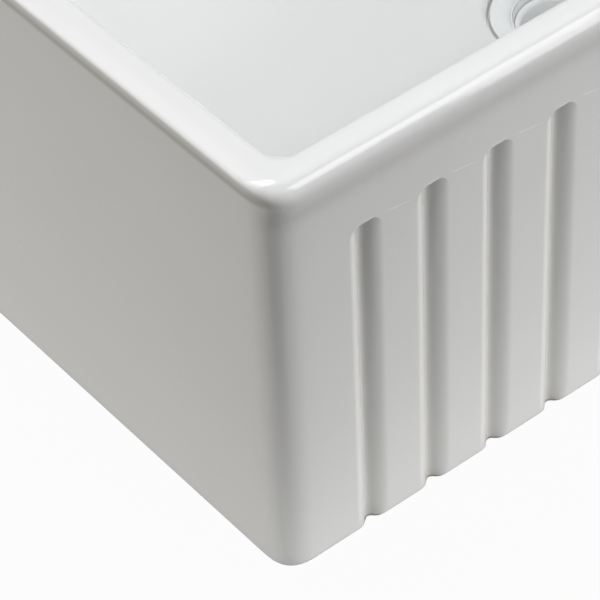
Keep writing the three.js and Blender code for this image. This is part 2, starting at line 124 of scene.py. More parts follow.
class SinkCastingSizes(PropertyGroup):
    """Sizes of the fireclay casting."""

    corner: length("Corner reach", 22, "How far an upright outside corner reaches along each side")
    squareness: amount("Corner squareness", 3.1, "2 is a circle, and more is squarer", least=2.0)
    foot: length("Foot radius", 3, "Radius of the bottom edge")
    front_roll: length("Front rim roll", 13, "Radius of the rim's outer edge at the front")
    side_roll: length("Side rim roll", 2.6, "Radius of the rim's outer edge at the sides and back")
    front_overhang: length("Front overhang", 1.8, "How far the rim stands before the apron")
    side_overhang: length("Side overhang", 2, "How far the rim stands out from the sides and back")
    front_return: length("Front return", 11, "Height over which the front overhang goes back to the apron")
    side_return: length("Side return", 10.4, "Height over which the side overhang goes back to the wall")
    # Strength of the painted shade in the fold under the front of the rim
    front_fold: amount("Front fold", 0.5, "Darkness of the fold under the front of the rim")
    front_wall: length("Front wall", 17.8, "Thickness of the front wall at the top")
    side_wall: length("Side wall", 20.7, "Thickness of the side and back walls at the top")
    lip: length("Inner lip", 4, "Radius of the rim's inner edge")
    taper: length("Wall taper", 6, "How far the walls lean in down to the floor fillet")
    bowl_corner: length("Bowl corner", 14, "Radius of the bowl's upright corners at the top")
    fillet: length("Floor fillet", 22, "Radius between the walls and the floor")
    floor: length("Floor thickness", 22, "Height of the floor at the outlet")
    fall: length("Floor fall", 5, "How much higher the floor is at the walls")
    # The bead along a land's top carries a painted highlight line: these place it, and land_bead gives its
    # height
    crease_drop: length("Crease drop", 0.8, "Drop of the glaze along a land's top, from the flutes' tops")
    crease_fall: length("Crease fall", 3.2, "How far that glaze sinks from a land's left to its right")
    land_bead: length("Land bead", 0.12, "How far the glaze along the top of a land stands out")
    flute_margin: length("Flute margin", 55.6, "From the side to the middle of the first flute")
    flute_count: IntProperty(name="Flutes", description="Number of flutes in the apron", default=17, min=2)
    flute_depth: length("Flute depth", 5.4, "Depth of a flute")
    flute_shoulder: length("Flute shoulder", 9, "Radius of a flute's edges")
    flute_floor: length("Flute floor", 3.2, "Radius of a flute's floor")
    flute_angle: degrees("Flute wall angle", 48, "Slant of a flute's walls")
    flute_top: length("Flute top", 48.5, "From the rim down to the tops of the flutes")
    flute_reach: length("Flute top reach", 7, "Width of the round corners at a flute's top")
    flute_drop: length("Flute top drop", 8, "Height of the round corners at a flute's top")
    outlet: length("Outlet radius", 31, "Radius of the hole in the floor")
    recess: length("Recess radius", 43.8, "Radius of the recess that takes the flange")
    recess_depth: length("Recess depth", 6, "Depth of the recess")
    recess_lip: length("Recess lip", 3, "Radius of the recess's soft edge")


class SinkWasteSizes(PropertyGroup):
    """Sizes of the strainer waste that its CAD boxes don't give."""

    cup_bore: length("Cup bore", 26, "Inside radius of the strainer cup")
    cup_radius: length("Cup radius", 29, "Outside radius of the threaded cup")
    throat: length("Throat radius", 27.8, "Radius of the seat above the basket ledge")
    spout_bore: length("Spout bore", 19.05, "Inside radius of the spout")
    spout: length("Spout radius", 22.5, "Outside radius of the threaded spout")
    thread_pitch: length("Thread pitch", 2.2, "Pitch of the cup and spout threads")
    thread_depth: length("Thread depth", 0.55, "Depth of the cup and spout threads")
    tube_wall: length("Tube wall", 1, "Thickness of the tailpiece")
    post: length("Post radius", 3, "Radius of the stopper's post")
    sheet: length("Basket sheet", 1.2, "Thickness of the basket's metal")
    hole: length("Basket hole", 1.8, "Radius of the holes in the basket")


class SinkColours(PropertyGroup):
    """Colours of the finishes."""

    glaze: colour("Glaze", (0.855, 0.865, 0.858), "White glaze of the casting")
    # Painted shade: a darker, warmer glaze in the bottoms of the flutes, where they would lie in shade
    glaze_pool: colour("Pooled glaze", (0.84, 0.83, 0.79), "Thicker glaze at the bottom of the flutes")
    # Painted highlight: the line along the tops of the lands and down the flutes' left lips
    glaze_thick: colour("Thick glaze", (1.0, 1.0, 0.99), "Glaze gathered along the top of a land")
    # Painted shade in the fold under the rim: grey where it begins, warm brown where it is deepest
    glaze_shade: colour("Shaded glaze", (0.645, 0.64, 0.625), "Glaze where the fold under the rim begins")
    glaze_thin: colour("Thin glaze", (0.64, 0.62, 0.54), "Thin glaze in the fold under the rim, over the clay")
    clay: colour("Bare clay", (0.60, 0.52, 0.40), "Unglazed fireclay of the base")
    enamel: colour("Enamel", (0.91, 0.925, 0.93), "White enamel of the strainer and basket")
    white_rubber: colour("White rubber", (0.70, 0.70, 0.68), "Flange seal")
    black_rubber: colour("Black rubber", (0.028, 0.028, 0.03), "Gasket and stopper")
    fibre: colour("Fibre board", (0.36, 0.25, 0.14), "Friction ring")
    brass: colour("Cast brass", (0.62, 0.47, 0.22), "Nuts of the waste")
    nylon: colour("Nylon", (0.80, 0.79, 0.75), "Tailpiece washer")
    steel: colour("Polished steel", (0.70, 0.71, 0.72), "Tailpiece, post and knob")
    spring: colour("Spring steel", (0.52, 0.53, 0.54), "Clip and nut")
    stage: colour("Floor", (0.02, 0.02, 0.02), "Studio floor, beside the light that it gives")


class SinkStageSettings(PropertyGroup):
    """Camera and light of the studio."""

    azimuth: degrees("Camera azimuth", 37.28, "Camera's turn to the left of the front")
    elevation: degrees("Camera elevation", 44.31, "Camera's height above the horizon")
    roll: degrees("Camera roll", -2.78, "Camera's tilt about its own line of sight")
    distance: length("Camera distance", 1471.5, "From the camera to the point it looks at")
    aim_x: length("Aim from the left side", 17.79, "Aimed point, from the sink's left side")
    aim_y: length("Aim from the front", 1.8, "Aimed point, behind the front of the rim")
    aim_z: length("Aim height", 181.27, "Aimed point, above the underside")
    lens: amount("Lens", 193.85, "Focal length in millimetres", least=1.0)
    top_light: power("Top light", 25.5, "Soft light overhead")
    high_left_light: power("High left light", 12, "Soft light high on the left")
    left_light: power("Left light", 6.5, "Low light on the left")
    high_right_light: power("High right light", 3.5, "Soft light high at the front right")
    high_back_light: power("High back light", 3.4, "Soft light high at the back")
    key_light: power("Key light", 31, "Wide low light at the front right")
    front_light: power("Front light", 13.5, "Light at half height, right of the front")
    corner_light: power("Corner light", 1, "Weak low light at the front left")
    rim_light: power("Rim light", 12.5, "Wide low light at the back left")
    back_light: power("Back light", 8, "Light at half height behind the sink")
    light_distance: length("Light distance", 2400, "From the sink to each light")
    front_glow: power("Front glow", 0.66, "Light that the ground before the apron sends up")
    side_glow: power("Side glow", 0.4, "Light that the ground beside the sink sends up")
    corner_glow: power("Corner glow", 0.76, "Light that the ground off a corner sends up")
    under_glow: power("Under glow", 0.3, "Light that is left under the sink")
    front_reach: length("Front glow reach", 520, "Where the front glow ends, from the sink's outline")
    side_reach: length("Side glow reach", 720, "Where the side glow ends, from the sink's outline")
    corner_reach: length("Corner glow reach", 210, "Where the corner glow ends, from the sink's outline")
    glow_drop: length("Glow drop", 3, "How far the glow lies below the sink's base")


# ---------------------------------------------------------------- meshes


# In metres: points nearer than the first are one point, and an edge below the second has no length.
MERGE_DISTANCE, NO_LENGTH = 2e-6, 1e-7


def sizes_in_millimetres(group):
    """The sizes of a property group in millimetres, and its counts and angles as they are."""
    found = {}
    for prop in group.bl_rna.properties:
        if prop.identifier in ("name", "rna_type"):
            continue
        value = getattr(group, prop.identifier)
        is_length = getattr(prop, "unit", "NONE") == "LENGTH"
        found[prop.identifier] = value / MM if is_length else value
    return SimpleNamespace(**found)


def grid_quads(rows, columns, wrap_rows, wrap_columns):
    """Corner numbers of the quads between neighbours of a grid, row by row, as one array."""
    row = np.arange(rows if wrap_rows else rows - 1)
    column = np.arange(columns if wrap_columns else columns - 1)
    r, c = np.meshgrid(row, column, indexing="ij")
    next_r, next_c = (r + 1) % rows, (c + 1) % columns
    corners = [r * columns + c, r * columns + next_c, next_r * columns + next_c, next_r * columns + c]
    return np.stack(corners, -1).reshape(-1, 4)


def signed_volume(points, quads):
    """A sixth of the sum, over each quad's two triangles, of its corners' triple product."""
    a, b, c, d = (points[quads[:, k]] for k in range(4))
    one = np.einsum("ij,ij->i", a, np.cross(b, c)).sum()
    two = np.einsum("ij,ij->i", a, np.cross(c, d)).sum()
    return (one + two) / 6


class Skin:
    """Points and quads of one closed shape or of several, in millimetres, and values at the points."""

    def __init__(self):
        self.points = np.zeros((0, 3))
        self.quads = np.zeros((0, 4), int)
        self.values = {}

    def add(self, grid, wrap_rows=True, wrap_columns=True, **values):
        """Adds a grid of points (rows, columns, 3), turned so that its faces point out.

        Values, one for each point and under the name of their attribute, go with a skin of one grid.
        """
        rows, columns = grid.shape[:2]
        points = grid.reshape(-1, 3)
        quads = grid_quads(rows, columns, wrap_rows, wrap_columns)
        if signed_volume(points - points.mean(0), quads) < 0:
            quads = quads[:, ::-1]
        self.values.update({name: value.reshape(-1) for name, value in values.items()})
        return self.join(points, quads)

    def join(self, points, quads):
        """Adds points, and quads that count them from 0."""
        self.quads = np.concatenate([self.quads, quads + len(self.points)])
        self.points = np.concatenate([self.points, points])
        return self

    def mesh(self, name, merge=False):
        """The mesh in metres. Merging joins the points of a pole or of two patches that meet."""
        mesh = bpy.data.meshes.new(name)
        mesh.vertices.add(len(self.points))
        mesh.vertices.foreach_set("co", (self.points * MM).astype(np.float32).ravel())
        mesh.loops.add(self.quads.size)
        mesh.loops.foreach_set("vertex_index", self.quads.astype(np.int32).ravel())
        mesh.polygons.add(len(self.quads))
        mesh.polygons.foreach_set("loop_start", np.arange(0, self.quads.size, 4, dtype=np.int32))
        mesh.update(calc_edges=True)
        for key, value in self.values.items():
            mesh.attributes.new(key, "FLOAT", "POINT").data.foreach_set("value", value.astype(np.float32))
        if merge:
            merge_points(mesh)
        mesh.validate()
        mesh.polygons.foreach_set("use_smooth", np.ones(len(mesh.polygons), bool))
        mesh.update()
        return mesh


def merge_points(mesh):
    """Joins points that lie together, so that poles and seams are closed."""
    work = bmesh.new()
    work.from_mesh(mesh)
    bmesh.ops.remove_doubles(work, verts=work.verts, dist=MERGE_DISTANCE)
    bmesh.ops.dissolve_degenerate(work, edges=work.edges, dist=NO_LENGTH)
    work.to_mesh(mesh)
    work.free()


def link(name, data):
    """A new object at the origin, in the scene."""
    made = bpy.data.objects.new(name, data)
    bpy.context.scene.collection.objects.link(made)
    return made


def place(name, mesh, slot, body, node):
    """The piece with its finish, riding on a body and standing for a CAD node."""
    piece = link(name, mesh)
    mesh.materials.append(finishes()[slot])
    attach(piece, body)
    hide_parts(node)
    return piece


# ---------------------------------------------------------------- profiles and turned surfaces


# The most of a leg that an arc takes, and the radius and half bend below which a corner stays sharp.
LEG_SHARE, NO_RADIUS, NO_BEND = 0.48, 1e-6, 1e-3


def fillet(before, corner, after, radius, steps):
    """An arc that meets both legs of a corner: its centre lies on the bisector at radius / sin(half).

    It takes less than half of either leg, so that the arcs at a leg's two ends don't meet.
    """
    to_before, to_after = np.linalg.norm(before - corner), np.linalg.norm(after - corner)
    u, v = (before - corner) / to_before, (after - corner) / to_after
    half = np.arccos(np.clip(u @ v, -1, 1)) / 2
    radius = min(radius, LEG_SHARE * min(to_before, to_after) * np.tan(half))
    if radius < NO_RADIUS or half > QUARTER_TURN - NO_BEND:
        return corner[None]
    reach = radius / np.tan(half)
    middle = corner + (u + v) / np.linalg.norm(u + v) * radius / np.sin(half)
    start, end = corner + u * reach - middle, corner + v * reach - middle
    swing = np.pi - 2 * half
    share = np.linspace(0, 1, steps + 1)[:, None]
    return middle + (np.sin((1 - share) * swing) * start + np.sin(share * swing) * end) / np.sin(swing)


def softened(corners, steps=4, closed=True):
    """A profile of (radius, height, rounding) corners, each turned into an arc of its rounding."""
    corners = np.array(corners, float)
    places, count = corners[:, :2], len(corners)
    rows = []
    for i, rounding in enumerate(corners[:, 2]):
        is_end = not closed and i in (0, count - 1)
        if is_end or rounding == 0:
            rows.append(places[i][None])
        else:
            rows.append(fillet(places[i - 1], places[i], places[(i + 1) % count], rounding, steps))
    return np.concatenate(rows)


def square_section(inner, outer, low, high, rounding, steps=4):
    """A closed section between two radii and two heights, with one rounding or one for each corner."""
    corners = [[inner, low], [outer, low], [outer, high], [inner, high]]
    return softened([[*corner, r] for corner, r in zip(corners, np.broadcast_to(rounding, 4))], steps)


def filled_in(profile, longest, closed=True):
    """The profile with extra points on its long straight runs."""
    following = np.roll(profile, -1, 0) if closed else np.concatenate([profile[1:], profile[-1:]])
    parts = np.maximum(np.ceil(np.linalg.norm(following - profile, axis=1) / longest), 1).astype(int)
    start = np.repeat(np.arange(len(profile)), parts)
    share = (np.arange(len(start)) - np.repeat(np.cumsum(parts) - parts, parts)) / parts[start]
    return profile[start] + (following - profile)[start] * share[:, None]


def turned(profile, segments=96, push=None, angles=None):
    """A profile turned about the waste's axis, with each radius r pushed out by push(angle, r, height)."""
    if angles is None:
        angles = np.arange(segments) / segments * FULL_TURN
    radius, height = profile[:, 0][:, None], profile[:, 1][:, None]
    reach = radius + (push(angles[None], radius, height) if push else 0)
    return round_waste(reach, angles[None], height)


def round_waste(radius, angle, height):
    """Points round the waste's axis: x = r cos a and y = r sin a, from there."""
    x, y = WASTE_CENTRE[0] + radius * np.cos(angle), WASTE_CENTRE[1] + radius * np.sin(angle)
    return np.stack([x, y, height + 0 * angle], -1)


def smoothstep(value, low, high):
    """0 below low, 1 above high, and 3t^2 - 2t^3 between them."""
    t = np.clip((value - low) / (high - low), 0, 1)
    return t * t * (3 - 2 * t)


def thread(radius, bottom, top, pitch, depth):
    """Push of a thread: a rounded saw tooth of the height less the angle's share of the pitch."""
    crest, root, near_enough = 0.15, 0.95, 0.02

    def push(angle, r, z):
        phase = (z / pitch - angle / FULL_TURN) % 1
        ridge = smoothstep(np.abs(2 * phase - 1), crest, root)
        on_outside = np.abs(r - radius) < near_enough
        run_out = smoothstep(z, bottom, bottom + pitch) * (1 - smoothstep(z, top - pitch, top))
        return -depth * ridge * on_outside * run_out

    return push


# ---------------------------------------------------------------- casting


# The casting's grid: numbers of columns and rows, and powers that crowd rows to one end.
BEND_COLUMNS, SIDE_COLUMNS, BACK_COLUMNS, END_COLUMNS = 23, 20, 38, 5
FLOOR_ROWS, FILLET_ROWS, WALL_ROWS, LIP_ROWS, FOOT_ROWS, BASE_ROWS = 14, 13, 7, 15, 9, 10
FRONT_ROLL_ROWS, SIDE_ROLL_ROWS = 15, 11
FLOOR_CROWDING, BASE_CROWDING = 1.15, 0.85

# Places of its columns over half a flute, as shares, and of those beside it, in millimetres. The
# last two are the run before the first flute and the least room from a corner.
FLUTE_SHARES = np.array([0, 0.08, 0.165, 0.24, 0.33, 0.43, 0.54, 0.66, 0.78, 0.89, 1])
FLUTE_EDGE, LAND_COLUMN, FIRST_RUN, CORNER_ROOM = 1.2, 4, 6, 0.5

# Places of its rows: down the side's return, as shares, and in millimetres above the flutes' tops.
RETURN_SHARES = np.array([0.1, 0.2, 0.3, 0.4, 0.5, 0.6, 0.68, 0.76, 0.84, 0.92])
BAND_ROWS = [34.2, 32.8, 31.4, 30, 28.6, 27.2, 25.8, 24.4, 22, 18, 12, 8, 4.5]
TOP_ROWS = [2.4, 1.3, 0.8, 0.5, 0.33, 0.17, 0, -0.35, -1, -1.6, -2.2, -2.9, -3.7, -4.8, -6.5, -9]
FLUTE_ROWS = [-13, -19, -28, -40, -56, -76, -98, -122, -146, -166, -180, -190, -196.5]

# Heights over which the glaze begins, up the outlet and up the foot.
GLAZE_IN_OUTLET, GLAZE_ON_FOOT = (2.5, 6.0), (0.5, 1.9)

# Over how much a flute runs into the foot, how far from the flutes' tops the rows still bend, and
# the share of the floor's fall that is even.
FOOT_BLEND, BEND_REACH, EVEN_FALL = 1.2, 16, 0.3

# The least room between rows, on the rim and above the foot.
RIM_ROOM, FOOT_ROOM = 0.12, 0.5

# What the casting's points are marked with: bare clay, painted shade in the flute hollows, painted shade in the
# fold under the rim, and a painted highlight line along the land tops.
MARKS = ("bare", "pool", "thin", "crease")

# For each column: its corner numbers, angle and share, and its x on the apron, or one far off it.
Columns = namedtuple("Columns", "starts ends angles shares apron_x")
OFF_APRON = 1e6


def shares(parts, crowding=1.0):
    """The inner ends of a run's equal parts, as shares of it raised to a power."""
    return (np.arange(1, parts) / parts) ** crowding


def front_columns(s):
    """Where the columns of the apron lie: the same ones at each flute, and a few before either end."""
    straight = HALF_WIDTH - s.corner
    limit = straight - CORNER_ROOM
    middles = (np.arange(s.flute_count) / (s.flute_count - 1) - 0.5) * 2 * (HALF_WIDTH - s.flute_margin)
    half_flute = flute_section(s)[0]
    inside = half_flute * FLUTE_SHARES
    beside = half_flute + np.array([FLUTE_EDGE, LAND_COLUMN])
    half_pitch = (middles[1] - middles[0]) / 2
    offsets = np.concatenate([-beside[::-1], -inside[:0:-1], inside, beside, [half_pitch]])
    front = (middles[:, None] + offsets).ravel()
    front = front[np.abs(front) < limit]
    ends = np.linspace(front.max(), straight, END_COLUMNS)[1:-1]
    front = np.sort(np.concatenate([front, ends, -ends, [front.min() - FIRST_RUN]]))
    return front[np.abs(front) < limit]


def casting_columns(s):
    """The columns round the casting, as two corner angles and a share of the way between them.

    They go from the front right corner, number 0, by the back and the left. A column of a corner
    has its number twice. A column of a straight edge lies between the last angle of one corner and
    the first angle of the next. The front edge has its columns where the flutes need them.
    """
    straight, apron = HALF_WIDTH - s.corner, front_columns(s)
    side, back = (np.linspace(0, 1, count)[1:-1] for count in (SIDE_COLUMNS, BACK_COLUMNS))
    front = (apron + straight) / (2 * straight)
    stretches = []
    for corner, edge in enumerate((side, back, side, front)):
        bend = np.radians(90 * (corner - 1) + np.linspace(0, 90, BEND_COLUMNS))
        apron_x = apron if edge is front else OFF_APRON
        stretches.append(np.broadcast_arrays(corner, corner, bend, 0.0, OFF_APRON))
        stretches.append(np.broadcast_arrays(corner, (corner + 1) % 4, bend[-1], edge, apron_x))
    return Columns(*(np.concatenate(part) for part in zip(*stretches)))


def flute_section(s):
    """Half width of a flute, and a function that gives its depth at a distance from its middle.

    From the edge in: a round shoulder, a straight slanting wall and a round floor.
    """
    sin, cos, tan = np.sin(s.flute_angle), np.cos(s.flute_angle), np.tan(s.flute_angle)
    shoulder_reach, shoulder_drop = s.flute_shoulder * sin, s.flute_shoulder * (1 - cos)
    floor_reach, floor_rise = s.flute_floor * sin, s.flute_floor * (1 - cos)
    wall_drop = s.flute_depth - shoulder_drop - floor_rise
    half = shoulder_reach + wall_drop / tan + floor_reach

    def depth(offset):
        u = np.clip(np.abs(offset), 0, half)
        from_edge = half - u
        shoulder = s.flute_shoulder - np.sqrt(np.maximum(s.flute_shoulder**2 - from_edge**2, 0))
        wall = shoulder_drop + (from_edge - shoulder_reach) * tan
        floor = s.flute_depth - s.flute_floor + np.sqrt(np.maximum(s.flute_floor**2 - u**2, 0))
        inner = np.where(u < floor_reach, floor, wall)
        return np.where(from_edge < shoulder_reach, shoulder, inner)

    return half, depth


def casting_ring(columns, side, front, radius, squareness=2.0):
    """Points of a rectangle with superellipse corners, set in from the casting's own outline.

    It is set in by side at the sides and back, and by front at the front. A corner's point at the
    angle a is its centre + radius * (cos a, sin a) ** (2 / squareness).
    """
    low, high = CASTING_LOW, CASTING_HIGH
    left, right = low[0] + side + radius, high[0] - side - radius
    near, far = low[1] + front + radius, high[1] - side - radius
    centres = np.array([[right, near], [right, far], [left, far], [left, near]])
    direction = np.stack([np.cos(columns.angles), np.sin(columns.angles)], -1)
    around = radius * np.sign(direction) * np.abs(direction) ** (2 / squareness)
    first, second = centres[columns.starts] + around, centres[columns.ends] + around
    return first + (second - first) * columns.shares[:, None]


def smooth_most(a, b, width):
    """The larger of two values, with the change from one to the other rounded over a width."""
    h = np.clip(0.5 + 0.5 * (a - b) / width, 0, 1)
    return b + (a - b) * h + width * h * (1 - h)


def outlet_profile(s):
    """The outlet's soft lower edge and wall, the recess and its soft edge, and a start on the floor."""
    recess_floor = s.floor - s.recess_depth
    corners = [
        [s.outlet + 3, 0, 0],
        [s.outlet, 0, 1.2],
        [s.outlet, recess_floor, 1.5],
        [s.recess, recess_floor, 1.8],
        [s.recess, s.floor, s.recess_lip],
        [s.recess + 2 * s.recess_lip + 0.5, s.floor + 0.02, 0],
    ]
    return filled_in(softened(corners, closed=False), 8.0, closed=False)


def bowl_ring(s, columns, inset):
    """A ring of the bowl, set in from its outline at the top. Its corners grow with the inset."""
    return casting_ring(columns, s.side_wall + inset, s.front_wall + inset, s.bowl_corner + inset)


def outside_ring(s, columns, drop, inset=0.0):
    """A ring of the outside, at a drop below the top of the rim and set in where the foot is round."""
    front = setback(drop, s.front_roll, s.front_overhang, s.front_return) + inset
    side = setback(drop, s.side_roll, s.side_overhang, s.side_return) + inset
    shrink = min(side, front) if drop < s.side_roll else inset
    return casting_ring(columns, side, front, s.corner - shrink, s.squareness)


def bowl_rows(s, columns, outward):
    """Rows up the wall of the outlet, over the recess and the floor, up the bowl and over the lip.

    Each row of the casting is its points, its height and the marks that aren't 0 there.
    """
    for radius, height in outlet_profile(s):
        start = WASTE_CENTRE + outward * radius
        yield start, height, {"bare": 1 - smoothstep(height, *GLAZE_IN_OUTLET)}
    floor_ring = bowl_ring(s, columns, s.taper + s.fillet)
    for share in shares(FLOOR_ROWS, FLOOR_CROWDING):
        rise = s.fall * (EVEN_FALL * share + (1 - EVEN_FALL) * share**2)
        yield start + (floor_ring - start) * share, s.floor + rise, {}
    for angle in np.radians(np.linspace(90, 0, FILLET_ROWS)):
        inset = s.taper + s.fillet * (1 - np.cos(angle))
        yield bowl_ring(s, columns, inset), s.floor + s.fall + s.fillet * (1 - np.sin(angle)), {}
    top = CASTING_HIGH[2]
    wall_foot, wall_head = s.floor + s.fall + s.fillet, top - s.lip
    for share in shares(WALL_ROWS):
        yield bowl_ring(s, columns, s.taper * (1 - share)), wall_foot + (wall_head - wall_foot) * share, {}
    for angle in np.radians(np.linspace(90, 0, LIP_ROWS)):
        yield bowl_ring(s, columns, -s.lip * (1 - np.sin(angle))), top - s.lip * (1 - np.cos(angle)), {}


def outside_rows(s, columns):
    """Rows over the rim, down the outside with the flutes in the apron, and round the foot."""
    top = CASTING_HIGH[2]
    # Painted shade in the fold under the rim, the front's share by how much a column faces the front
    facing = np.clip(-np.sin(columns.angles), 0, 1) ** 2
    for drop in rim_drops(s):
        yield outside_ring(s, columns, drop), top - drop, {"thin": painted_fold_shade(s, drop, facing)}
    for level, height, offset, marks in apron_rows(s, columns.apron_x):
        ring = outside_ring(s, columns, top - level)
        ring[:, 1] += offset
        yield ring, height, {"thin": painted_fold_shade(s, top - level, facing), **marks}
    depth = flute_depth_at(s, columns.apron_x, 0.0)
    for angle in np.radians(np.linspace(0, 90, FOOT_ROWS)):
        inset, height = s.foot * (1 - np.cos(angle)), s.foot * (1 - np.sin(angle))
        ring = outside_ring(s, columns, top - height, inset)
        both = smooth_most(inset, depth, FOOT_BLEND)
        ring[:, 1] += np.where(columns.apron_x < OFF_APRON, both - inset, 0)
        # The painted shade of the flute hollows runs on round the foot
        yield ring, height, {"bare": 1 - smoothstep(height, *GLAZE_ON_FOOT), "pool": depth / s.flute_depth}


def base_rows(foot_ring, outlet_ring):
    """Rows of the flat bare base, from the foot to the outlet."""
    for share in shares(BASE_ROWS, BASE_CROWDING):
        yield foot_ring + (outlet_ring - foot_ring) * share, 0.0, {"bare": 1.0}


def casting_skin(s):
    """The whole casting as one grid that closes on itself both ways.

    Its rows run up the outlet, over the floor, up the bowl, over the lip and rim, down the outside,
    round the foot and back below.
    """
    columns = casting_columns(s)
    from_outlet = bowl_ring(s, columns, s.taper + s.fillet) - WASTE_CENTRE
    outward = from_outlet / np.linalg.norm(from_outlet, axis=1)[:, None]
    rows = [*bowl_rows(s, columns, outward), *outside_rows(s, columns)]
    rows += base_rows(rows[-1][0], rows[0][0])
    none = np.zeros(len(outward))
    grid = np.array([np.column_stack([points, none + height]) for points, height, _ in rows])
    marks = {name: np.array([none + found.get(name, 0.0) for _, _, found in rows]) for name in MARKS}
    return Skin().add(grid, **marks)


def setback(drop, roll, overhang, fall):
    """How far the outside lies behind the rim's furthest point, at a drop below the top of the rim.

    A quarter circle down to the roll, and then overhang * smoothstep over the fall.
    """
    if drop <= roll:
        return roll - np.sqrt(roll**2 - (roll - drop) ** 2)
    return overhang * smoothstep(drop - roll, 0, fall)


def painted_fold_shade(s, drop, facing):
    """How much painted shade a row gets in the fold under the rim, from 0 to 1, for each column.

    Over each return it is smoothstep down to its deepest line and back. The columns that face the
    front have a share of the front's fold, which is wider and weaker, and the others have the side's.
    """
    front_start, front_spread = 0.85, 1.7
    at_front = fold_shade_at(drop, front_start * s.front_roll, front_spread * s.front_return, share=0.5)
    at_side = fold_shade_at(drop, s.side_roll, s.side_return, share=0.67)
    return s.front_fold * facing * at_front + (1 - facing) * at_side


def fold_shade_at(drop, start, fall, share):
    """The painted shade of one side's fold, from a start over a fall, deepest at a share of the way down."""
    deepest = start + share * fall
    return smoothstep(drop, start, deepest) * (1 - smoothstep(drop, deepest, start + fall))


def rim_drops(s):
    """Drops of the rim's rows: even steps of each roll's angle, and rows down the side's return."""

    def roll_drops(roll, parts):
        return roll * (1 - np.sin(np.linspace(1, 0, parts)[1:] * QUARTER_TURN))

    side_return = s.side_roll + s.side_return * RETURN_SHARES
    side_return = side_return[side_return < s.front_roll]
    front, side = roll_drops(s.front_roll, FRONT_ROLL_ROWS), roll_drops(s.side_roll, SIDE_ROLL_ROWS)
    drops = np.sort(np.concatenate([front, side, side_return]))
    return drops[np.append(True, np.diff(drops) > RIM_ROOM)]


def nearest_flute(s, apron_x):
    """Distance of each apron column from the middle of its nearest flute, and the flutes' pitch."""
    pitch = 2 * (HALF_WIDTH - s.flute_margin) / (s.flute_count - 1)
    flute = np.clip(np.round((apron_x + HALF_WIDTH - s.flute_margin) / pitch), 0, s.flute_count - 1)
    return apron_x - (flute * pitch - HALF_WIDTH + s.flute_margin), pitch


def flute_depth_at(s, apron_x, height):
    """Depth of the flutes: their section, faded out under their rounded top outline."""
    fade = 2.0
    offset, _ = nearest_flute(s, apron_x)
    _, depth = flute_section(s)
    return depth(offset) * smoothstep(flute_outline(s, offset) - height, 0, fade)


def flute_outline(s, offset):
    """Height of a flute's top: level in the middle, and a quarter ellipse at each corner."""
    half, _ = flute_section(s)
    into = np.clip((np.abs(offset) - (half - s.flute_reach)) / s.flute_reach, 0, 1)
    return CASTING_HIGH[2] - s.flute_top - s.flute_drop * (1 - np.sqrt(1 - into**2))


def land_top_highlight(s, apron_x, level):
    """Where a painted highlight line runs along the tops of the lands and flutes, and down each flute's left
    lip. The same share pushes out the bead along the tops.

    Up the apron it is a bell curve. Along a land it begins and ends a little off the flutes, rises
    at once and then sinks to none. Over a flute it lies on the left part of the top. Down the lip
    it is a bell curve across.
    """
    width, room, rise, sharpness = 0.4, 1, 3, 12
    offset, pitch = nearest_flute(s, apron_x)
    half, _ = flute_section(s)
    along = np.where(offset < 0, offset + pitch, offset)
    start, end = half + room, pitch - half - room
    share = smoothstep(along, start, start + rise) * np.clip(1.6 * (end - along) / (end - start), 0, 1)
    between = np.abs(apron_x) < HALF_WIDTH - s.flute_margin
    middle = CASTING_HIGH[2] - s.flute_top + 0.25
    over = smoothstep(offset, -half, -0.8 * half) * (1 - smoothstep(offset, 0.1 * half, 0.5 * half))
    along_top = np.where(np.abs(offset) < half, over, share * between)
    # Painted highlight down each flute's left lip
    lip = 0.7 * np.exp(-(((offset / half + 0.84) * sharpness) ** 2)) * (level < middle)
    return np.maximum(along_top * np.exp(-(((level - middle) / width) ** 2)), lip)


def apron_rows(s, apron_x):
    """Rows down the outside: the level, the height of the points, how far they lie behind the
    apron's face, and the marks of painted shade in the flute hollows and of the painted highlight line with its
    bead.

    The rows crowd at the flutes' tops, and bend there to follow their round outlines. Along the top
    of each land they sink from left to right, and the painted highlight line and bead there sink with them.
    """
    top = CASTING_HIGH[2] - s.flute_top
    levels = top + np.array(BAND_ROWS + TOP_ROWS + FLUTE_ROWS)
    levels = levels[levels > s.foot + FOOT_ROOM]
    offset, pitch = nearest_flute(s, apron_x)
    half, _ = flute_section(s)
    on_apron = np.abs(offset) < pitch / 2 + 1
    ends = 1 - smoothstep(np.abs(offset), half, half + FLUTE_EDGE)
    along = np.where(offset < 0, offset + pitch, offset)
    sunk = s.crease_drop + s.crease_fall * (along - half) / (pitch - 2 * half)
    shift = ((top - flute_outline(s, offset)) * ends + sunk * (1 - ends)) * on_apron
    for level in levels:
        height = level - shift * np.exp(-(((level - top) / BEND_REACH) ** 2))
        depth = flute_depth_at(s, apron_x, height) * on_apron
        # The painted highlight line, which also pushes out the bead
        crease = land_top_highlight(s, apron_x, level)
        # Marks: painted shade in the flute hollows, and the painted highlight line with its bead
        marks = {"pool": depth / s.flute_depth, "crease": crease}
        yield level, height, depth - s.land_bead * crease, marks


# ---------------------------------------------------------------- materials


class Signal:
    """A socket that takes part in sums: each operator adds the Math node that it stands for."""

    def __init__(self, paint, socket):
        self.paint = paint
        self.socket = socket

    def __add__(self, other):
        return self.paint.math("ADD", self, other)

    __radd__ = __add__

    def __sub__(self, other):
        return self.paint.math("SUBTRACT", self, other)

    def __rsub__(self, other):
        return self.paint.math("SUBTRACT", other, self)

    def __mul__(self, other):
        return self.paint.math("MULTIPLY", self, other)

    __rmul__ = __mul__

    def __truediv__(self, other):
        return self.paint.math("DIVIDE", self, other)

    def __pow__(self, other):
        return self.paint.math("POWER", self, other)


